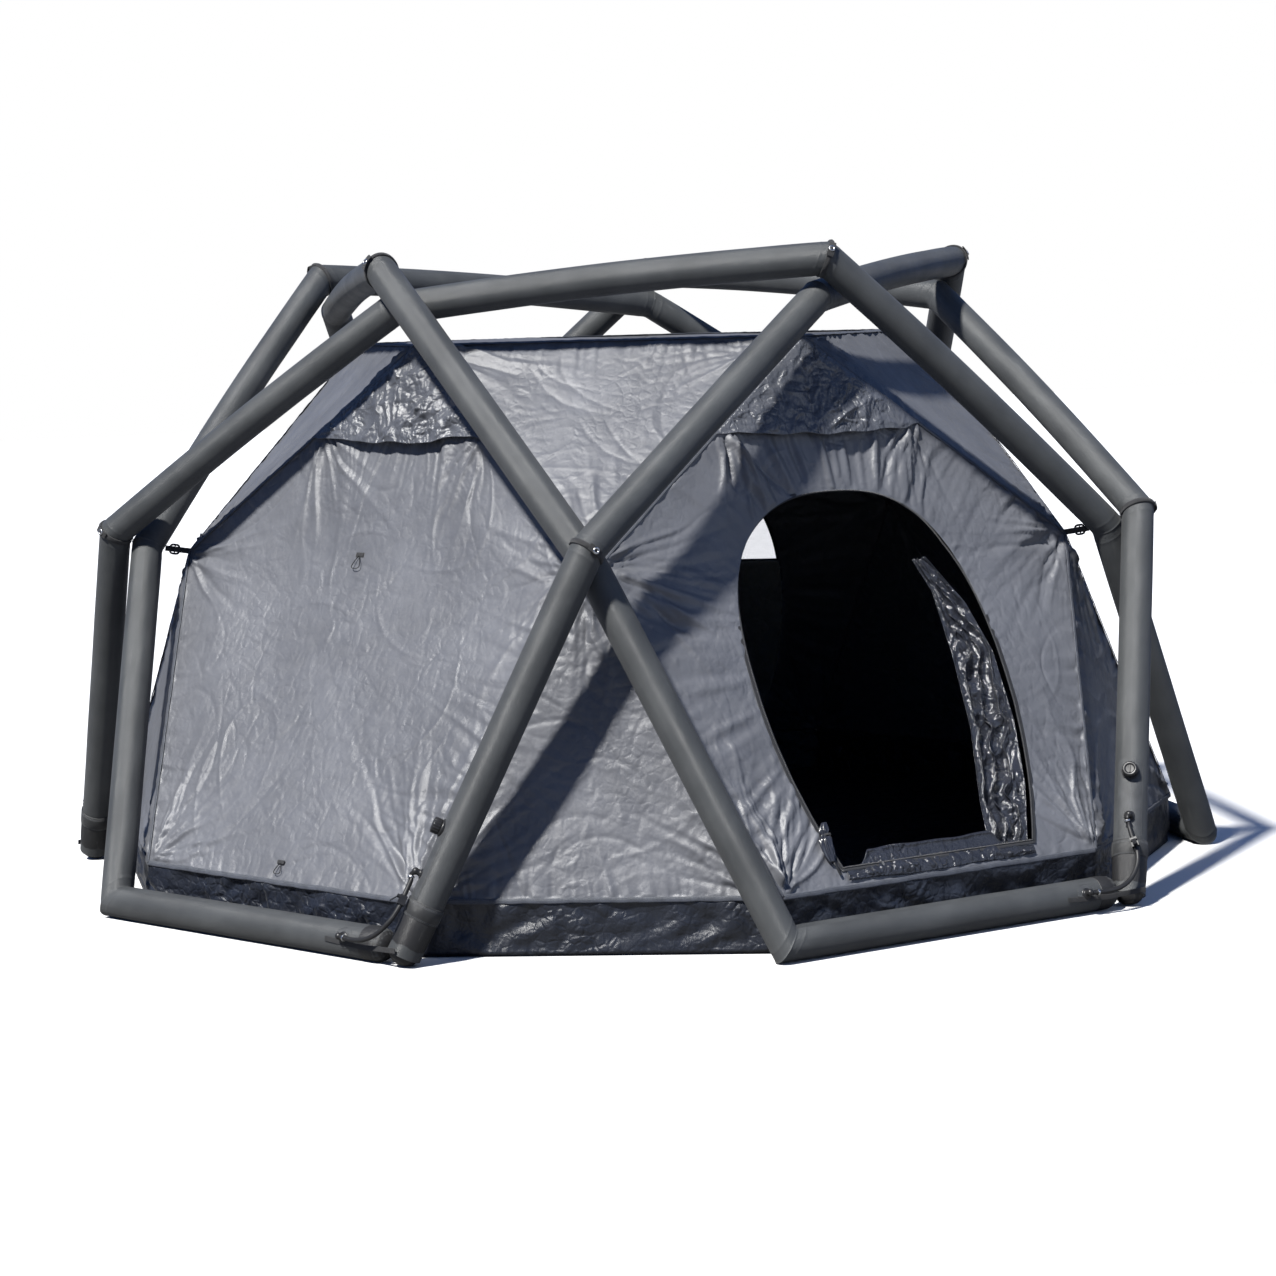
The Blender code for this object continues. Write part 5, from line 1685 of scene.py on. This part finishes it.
def add_zips():
    """Rolled zip edge round both entrances: woven tape and its coil."""
    tape = strap_profile(0.0095, 0.0014, 0.0004)
    for name, index in (("entrance_zip", 0), ("rear_zip", 2)):
        turn = np.array(turned(index))[:3, :3]
        curve = door_curve(560)
        z = curve[:, 1]
        wobble = 0.0012 * wave(np.arange(len(curve)) / 9.0,
                               820 + index) * smooth_step(np.minimum(np.arange(560), 560 - np.arange(560)),
                                                          0, 12)
        out = wall_out(z)
        base = wall_points(curve[:, 0], z, 0.0032 + wobble * 0.5)
        spread = unit_rows(base - base.mean(0))
        path = base + spread * 0.0027
        part = swept(path @ turn.T, tape, out @ turn.T, closed=True)
        put(f"{name}_tape", *part[:2], ZIP, uv=part[2], sharp=50)
        edge = swept((base - spread * 0.0020 + out * 0.0008) @ turn.T, round_profile(0.0026, 10),
                     out @ turn.T, closed=True)
        put(f"{name}_coil", *edge[:2], ZIP, uv=edge[2])


def unit_rows(v):
    """Each row at length one."""
    return v / np.linalg.norm(v, axis=1)[:, None]


def seam_bar(a, b, out, width=0.010, seed=1, thickness=0.0014):
    """A felled seam between two panels, very slightly wavy."""
    a, b, out = (np.array(p, float) for p in (a, b, out))
    count = max(int(np.linalg.norm(b - a) / 0.007), 4)
    t = np.linspace(0, 1, count)
    out = unit(out)
    path = a + t[:, None] * (b - a) + out * 0.0002
    across = np.cross(unit(b - a), out)
    fade = np.sin(math.pi * np.linspace(0, 1, count)) ** 0.3
    path = path + across * (0.0010 * wave(t * 30 + 3, seed) * fade)[:,
            None] + out * (0.0012 * np.abs(wave(t * 55 + 9, seed + 1)) * fade)[:, None]
    return swept(path, strap_profile(width, thickness, 0.0007), out)


def add_seams():
    """Felled seams along the panels' edges, and the hem above the floor's wall."""
    apex, after = polar(APEX_RADIUS, wall_angle(0), APEX_HEIGHT), polar(APEX_RADIUS, wall_angle(1),
            APEX_HEIGHT)
    corner = polar(CORNER_RADIUS, cross_angle(1), CORNER_HEIGHT)
    left, right = (polar(HEM_RADIUS, cross_angle(1) + side * HEM_HALF_ANGLE, HEM_HEIGHT) for side in (-1, 1))
    following = turned(1) @ left
    upper = Vector(wall_out(VENT_HEIGHT + 0.1))
    lower = Vector(wall_out(HEM_HEIGHT))
    turn = turned(1).to_3x3()
    roof = (corner - apex).cross(after - apex).normalized()
    panel = (right - left).cross(corner - left).normalized()
    radial = polar(1, cross_angle(1), 0)

    def make(name):
        parts = [
            seam_bar(apex, corner, upper + roof, 0.011, 831),
            seam_bar(after, corner, turn @ upper + roof, 0.011, 833),
            seam_bar(apex, after, Vector((0, 0, 1)) + roof, 0.012, 835),
            seam_bar(corner, left, lower + panel, 0.010, 837),
            seam_bar(corner, right, turn @ lower + panel, 0.010, 839),
            seam_bar(left, right, panel + radial, 0.012, 841),
            seam_bar(right, following, turn @ lower + radial, 0.012, 843),
        ]
        verts, faces, uv = joined(parts)
        return put(name, verts, faces, SEAM_TAPE, uv=uv)

    five("panel_seams", make)


def add_hangers():
    """Short webbing straps with hooks that hang the inner tent from the frame's crossings."""
    angle = cross_angle(0)
    corner, strand = polar(CORNER_RADIUS, angle, CORNER_HEIGHT), side_strand(angle, -1)
    way = (strand - corner).normalized()
    reach = (strand - corner).length - TUBE_RADIUS * 1.14
    sideways = polar(1, angle + math.pi / 2, 0)
    up = way.cross(sideways)
    if up.z < 0:
        up = -up

    def strap(name):
        t = np.linspace(-0.016, reach, 26)
        line = np.array(corner) + t[:, None] * np.array(way) + np.array(sideways) * (0.0012 * np.sin(t * 90))[:, None]
        under = line - np.array(sideways) * 0.0024
        parts = [swept(line, strap_profile(0.014, 0.0013, 0.0003), np.array(sideways))]
        parts.append(swept(under[:17], strap_profile(0.014, 0.0013, 0.0003), np.array(sideways)))
        bar = stitches(line[3:7] + np.array(sideways) * 0.0015 + np.array(up) * 0.0045, np.array(sideways))
        other = stitches(line[3:7] + np.array(sideways) * 0.0015 - np.array(up) * 0.0045, np.array(sideways))
        verts, faces, uv = joined([*parts, bar, other])
        return put(name, verts, faces, WEBBING, uv=uv, sharp=50)

    def tell(piece, number):
        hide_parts(f"corner_hanger_{number}")

    five("corner_hook", strap, after=tell)

    def hook(name):
        middle = corner + way * (reach * 0.62)
        place = frame_of(middle, way, sideways)
        loop = []
        for k in range(28):
            a = 2 * math.pi * k / 28
            loop.append((0.0115 * math.copysign(abs(math.cos(a)) ** 0.6, math.cos(a)),
                         0.0115 * math.copysign(abs(math.sin(a)) ** 0.6, math.sin(a)), 0.0007))
        ring = swept(loop, round_profile(0.0026, 8), (0, 0, 1), closed=True)
        bar = swept([(0, y, 0.0022) for y in np.linspace(-0.009, 0.009, 6)], round_profile(0.0016, 8),
                    (0, 0, 1))
        nose = [(0.0095, 0, 0.001), (0.0150, 0, 0.0022), (0.0185, 0, 0.0010), (0.0192, 0, -0.0026),
                (0.0165, 0, -0.0050)]
        tip = swept(catmull([Vector(p) for p in nose], 0.0016), round_profile(0.0018, 8), (0, 1, 0))
        verts, faces, uv = joined([placed(p, place) for p in (ring, bar, tip)])
        return put(name, verts, faces, PLASTIC, uv=uv)

    five("hook_buckle", hook)


def loop_on_wall(x, z, size, out=0.002, width=0.006):
    """A small triangular webbing loop that hangs from a point of the wall."""
    flat = [(0, 0), (-0.28, -0.42), (-0.42, -0.86), (-0.18, -1.0), (0.18, -1.0), (0.42, -0.86),
            (0.28, -0.42), (0.02, -0.01)]
    spots = [wall_points(x + size * a, z + size * b, out + 0.003 * math.sin(k * 0.45)) for k,
             (a, b) in enumerate(flat)]
    path = catmull([Vector(s) for s in spots], 0.003)
    return swept(path, strap_profile(width * 0.32, 0.0022), wall_out(z))


def add_loops():
    """Tie loops in the middle and at the hem of every side wall."""
    def make(name):
        verts, faces, uv = joined([loop_on_wall(0.0, 0.166, 0.024), swept(
            [wall_points(x, 0.168, 0.0014) for x in np.linspace(-0.011, 0.011, 7)],
            strap_profile(0.010, 0.0016, 0.0004), wall_out(0.2))])
        return put(name, verts, faces, WEBBING, uv=uv)

    five("hem_loop", make)
    for number, index in ((1, 1), (2, 3), (3, 4)):
        turn = turned(index)
        base = loop_on_wall(-0.060, CORNER_HEIGHT + 0.004, 0.030, out=0.010)
        patch = swept([wall_points(-0.060 + x, CORNER_HEIGHT + 0.007,
                                   0.0030 + 0.004) for x in np.linspace(-0.013, 0.013, 7)],
                      strap_profile(0.012, 0.0016, 0.0006), wall_out(CORNER_HEIGHT))
        verts, faces, uv = placed(joined([base, patch]), turn)
        put(f"wall_loop_{number}", verts, faces, WEBBING, uv=uv)


def add_sill():
    """The crumpled cloth lip along the entrance's sill, and the tied bunch at the zip's foot."""
    rows, columns = 34, 340
    along = np.linspace(-0.262, 0.266, columns)
    share = np.linspace(0, 1, rows)[:, None]
    ends = smooth_step(along, -0.225, -0.190) * smooth_step(-along, -0.190, -0.150)
    low = DOOR_SILL - 0.028 + 0.005 * wave(along / 0.09 + 10, 861)
    high = DOOR_SILL + 0.004 + (0.032 + 0.005 * wave(along / 0.060 + 10, 862)) * ends
    z = low + (high - low) * share
    crease = 0.0050 * np.abs(wave2(along[None, :] / 0.024 + share * 1.5 + 20, share * 2.2 + 9,
                                   863)) + 0.0030 * wave2(along[None, :] / 0.008 + 40,
                                                          share * 4 + along * 30 + 20, 864)
    base = np.exp(-(((share - 0.22) / 0.20) ** 2))
    roll = 0.0035 * np.exp(-(((share - 0.95) / 0.05) ** 2))
    out = 0.0030 + 0.0070 * base * (0.6 + 0.4 * wave(along / 0.05 + 30,
                                                     866)) + crease * (0.25 + 0.75 * base) + roll * ends
    x = along[None, :] + 0.003 * wave2(along[None, :] / 0.03 + 20, share * 4, 865) + 0 * share
    verts = wall_points(x.ravel(), (z + 0 * x).ravel(), np.maximum(out, 0.0012).ravel())
    # Painted shade: the lip is given the darker copy of the cloth.
    lip = put("sill_lip", verts, grid(rows, columns), GLOSSY_PAINTED_SHADE_CLOTH, uv=grid_uv(along, share[:, 0] * 0.07))
    thicken(lip, 0.0008)
    rows, columns = 44, 60
    tall = np.linspace(0, 1, rows)[:, None]
    round_ = np.linspace(0, 2 * math.pi, columns, endpoint=False)[None, :]
    waist = 0.010 * (0.45 + 0.75 * np.sin(math.pi * np.clip(tall * 0.96 + 0.03, 0,
                                                            1)) ** 0.6) * (1 - 0.50 * np.exp(-(((tall
                                                                    - 0.70) / 0.07) ** 2)))
    folds = 1 + 0.28 * np.sin(round_ * 7 + 2.5 * tall) + 0.18 * np.sin(round_ * 12 - 4 * tall)
    folds = 1 + (folds - 1) * np.sin(math.pi * np.clip(tall, 0.04, 0.96)) ** 0.5
    radius = waist * folds
    centre_x = -0.293 + 0.010 * (tall - 0.5) - 0.006 * np.sin(tall * 3)
    bx = centre_x + radius * 1.15 * np.cos(round_)
    bz = 0.180 + 0.082 * tall + 0 * round_
    verts = wall_points(bx.ravel(), bz.ravel(), (0.010 + radius * 0.62 * np.sin(round_)).ravel())
    # Painted shade: the bunch is given the darker copy of the cloth.
    bunch = put("flap_bunch", verts,
                [*[tuple(f) for f in grid(rows, columns, wrap=True)], tuple(range(columns))[::-1],
                tuple(range((rows - 1) * columns, rows * columns))], GLOSSY_PAINTED_SHADE_CLOTH)
    band = [wall_points(-0.290 + 0.0085 * math.cos(a), 0.2365,
                        0.010 + 0.0062 * math.sin(a)) for a in np.linspace(0, 2 * math.pi, 24,
                                endpoint=False)]
    part = swept(band, strap_profile(0.0050, 0.0012), unit_rows(np.array(band) - np.mean(band, 0)),
                 closed=True)
    put("bunch_tie", *part[:2], WEBBING, uv=part[2])


def add_flap():
    """The door flap, gathered in deep folds inside the entrance's right edge."""
    rows, columns = 200, 190
    z = np.linspace(0.172, 0.815, rows)[:, None]
    s = np.linspace(0, 1, columns)[None, :]
    outer = np.interp(z, (0.172, 0.290, 0.430, 0.590, 0.700, 0.815),
                      (0.266, 0.312, 0.341, 0.346, 0.314, 0.240))
    inner = np.interp(z, (0.172, 0.270, 0.430, 0.600, 0.740, 0.815),
                      (0.166, 0.181, 0.223, 0.239, 0.240, 0.212))
    width = outer - inner
    narrow = smooth_step(width, 0.02, 0.09)
    body = np.sin(math.pi * np.clip(s, 0.0, 1.0)) ** 0.35
    phase = 0.9 * wave(z / 0.10 + 9, 871) + 0.4 * wave(z / 0.035 + 9, 872)
    turn = 2 * math.pi * (s * 3.1 + phase * np.sin(math.pi * s) + 0.2)
    flat = np.stack([(s * 0.16 + 0 * z).ravel(), (z + 0 * s).ravel()], 1)
    frame_box = np.array([(0.0, 0.172), (0.16, 0.815)])
    crush = facets(flat, 210, 0.0125, 0.040, 874, frame_box) + creases(flat, 260, 0.0050, (0.012, 0.05),
            (0.0026, 0.0060), 875, frame_box, spread=80.0)
    crush = crush.reshape(rows, columns)
    deep = (0.0075 + 0.0030 * wave2(s * 6 + 10, z / 0.07, 873)) * (0.35 + 0.65 * narrow) * body
    middle = 0.008 + 0.018 * smooth_step(s + 0 * z, 0.0, 0.35)
    depth = np.clip(middle + deep * np.sin(turn) + crush * body * (0.4 + 0.6 * narrow), 0.0035, 0.0405)
    lean = width * 0.085 * np.sin(turn + 1.2) * body
    x = np.minimum(outer - width * s + lean + 0.35 * crush * body, outer + 0.002)
    verts = wall_points(x.ravel(), (z + 0.002 * wave(s * 9, 877) + 0 * x).ravel(), -depth.ravel())
    # Painted shade: the flap is given the darker copy of the cloth, for the shade inside the entrance.
    flap = put("door_flap_cloth", verts, grid(rows, columns), GLOSSY_PAINTED_SHADE_CLOTH, body="door_flap",
               uv=grid_uv(s[0] * 0.16, z[:, 0]))
    thicken(flap, 0.0007)
    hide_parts("door_flap")


def add_slider():
    """Zip slider with its pull; the CAD slider keeps its place."""
    at, towards = np.array(SLIDER_AT), np.array(SLIDER_TOWARDS)
    here, there = wall_points(*at, 0.0048), wall_points(*towards, 0.0048)
    place = frame_of(Vector(here), Vector(there - here), Vector(wall_out(at[1])))
    eye = [(-0.010 + 0.0040 * math.cos(a), 0.0032 * math.sin(a),
            0.0036 + 0.0012 * math.cos(a)) for a in np.linspace(0, 2 * math.pi, 20, endpoint=False)]
    ring = swept(eye, round_profile(0.0008, 7), (0, 0, 1), closed=True)
    verts, faces, uv = placed(ring, place)
    put("pull_ring", verts, faces, DARK_METAL, body="zip_slider", uv=uv)
    tab = catmull([Vector(p) for p in ((-0.012, 0, 0.0042), (-0.020, 0.001, 0.0060),
                                       (-0.032, 0.002, 0.0050), (-0.044, 0.001, 0.0030))], 0.0025)
    verts, faces, uv = placed(swept(tab, strap_profile(0.0075, 0.0018, 0.0005), (0, 0, 1)), place)
    put("pull_tab", verts, faces, RUBBER, body="zip_slider", uv=uv, sharp=50)
    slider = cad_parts["zip_slider"]
    slider.data.materials.clear()
    slider.data.materials.append(DARK_METAL)
    bevel = slider.modifiers.new("Round", "BEVEL")
    bevel.width = 0.0012
    bevel.segments = 2


def add_tethers():
    """A small webbing tether from each ground tube's end to the boot of the next foot."""
    outward, sideways = foot_axes()
    chord = math.radians(90) - (TURN - 2 * FOOT_HALF_ANGLE) / 2
    back = -sideways * math.sin(chord) - outward * math.cos(chord)
    front = outward * math.sin(chord) - sideways * math.cos(chord)
    base = foot_vertex(0)

    def on_tube(distance, degrees, lift=0.0008):
        rise = math.radians(degrees)
        out = front * math.cos(rise) + Vector((0, 0, math.sin(rise)))
        return base + back * distance + out * (SKIN + lift), out

    def make(name):
        spots = [on_tube(0.215, 8), on_tube(0.170, 4), on_tube(0.125, 0), on_tube(0.090, -2),
                 on_tube(0.066, 0)]
        points = [p for p, _ in spots] + [base + front * 0.046 - back * 0.010 + Vector((0, 0, 0.004))]
        outs = [o for _, o in spots] + [front]
        path = catmull(points, 0.004)
        share = np.linspace(0, 1, len(path)) * (len(outs) - 1)
        out = np.stack([np.interp(share, range(len(outs)), [o[k] for o in outs]) for k in range(3)], 1)
        verts, faces, uv = swept(path, strap_profile(0.012, 0.0014, 0.0003), out)
        return put(name, verts, faces, WEBBING, uv=uv, sharp=50)

    five("foot_tether", make)


# ---------------------------------------------------------------- everything
add_camera()
add_studio()
add_beams()
add_valves()
add_hoses()
add_tethers()
add_side_walls()
doorway_wall("entrance_wall", 0, 500, 640, 92, 1.0)
doorway_wall("rear_wall", 2, 560, 400, 52, 0.7)
add_roof()
add_corner_panels()
add_hoods()
add_tub()
add_rear_entrance()
add_zips()
add_seams()
add_hangers()
add_loops()
add_sill()
add_flap()
add_slider()
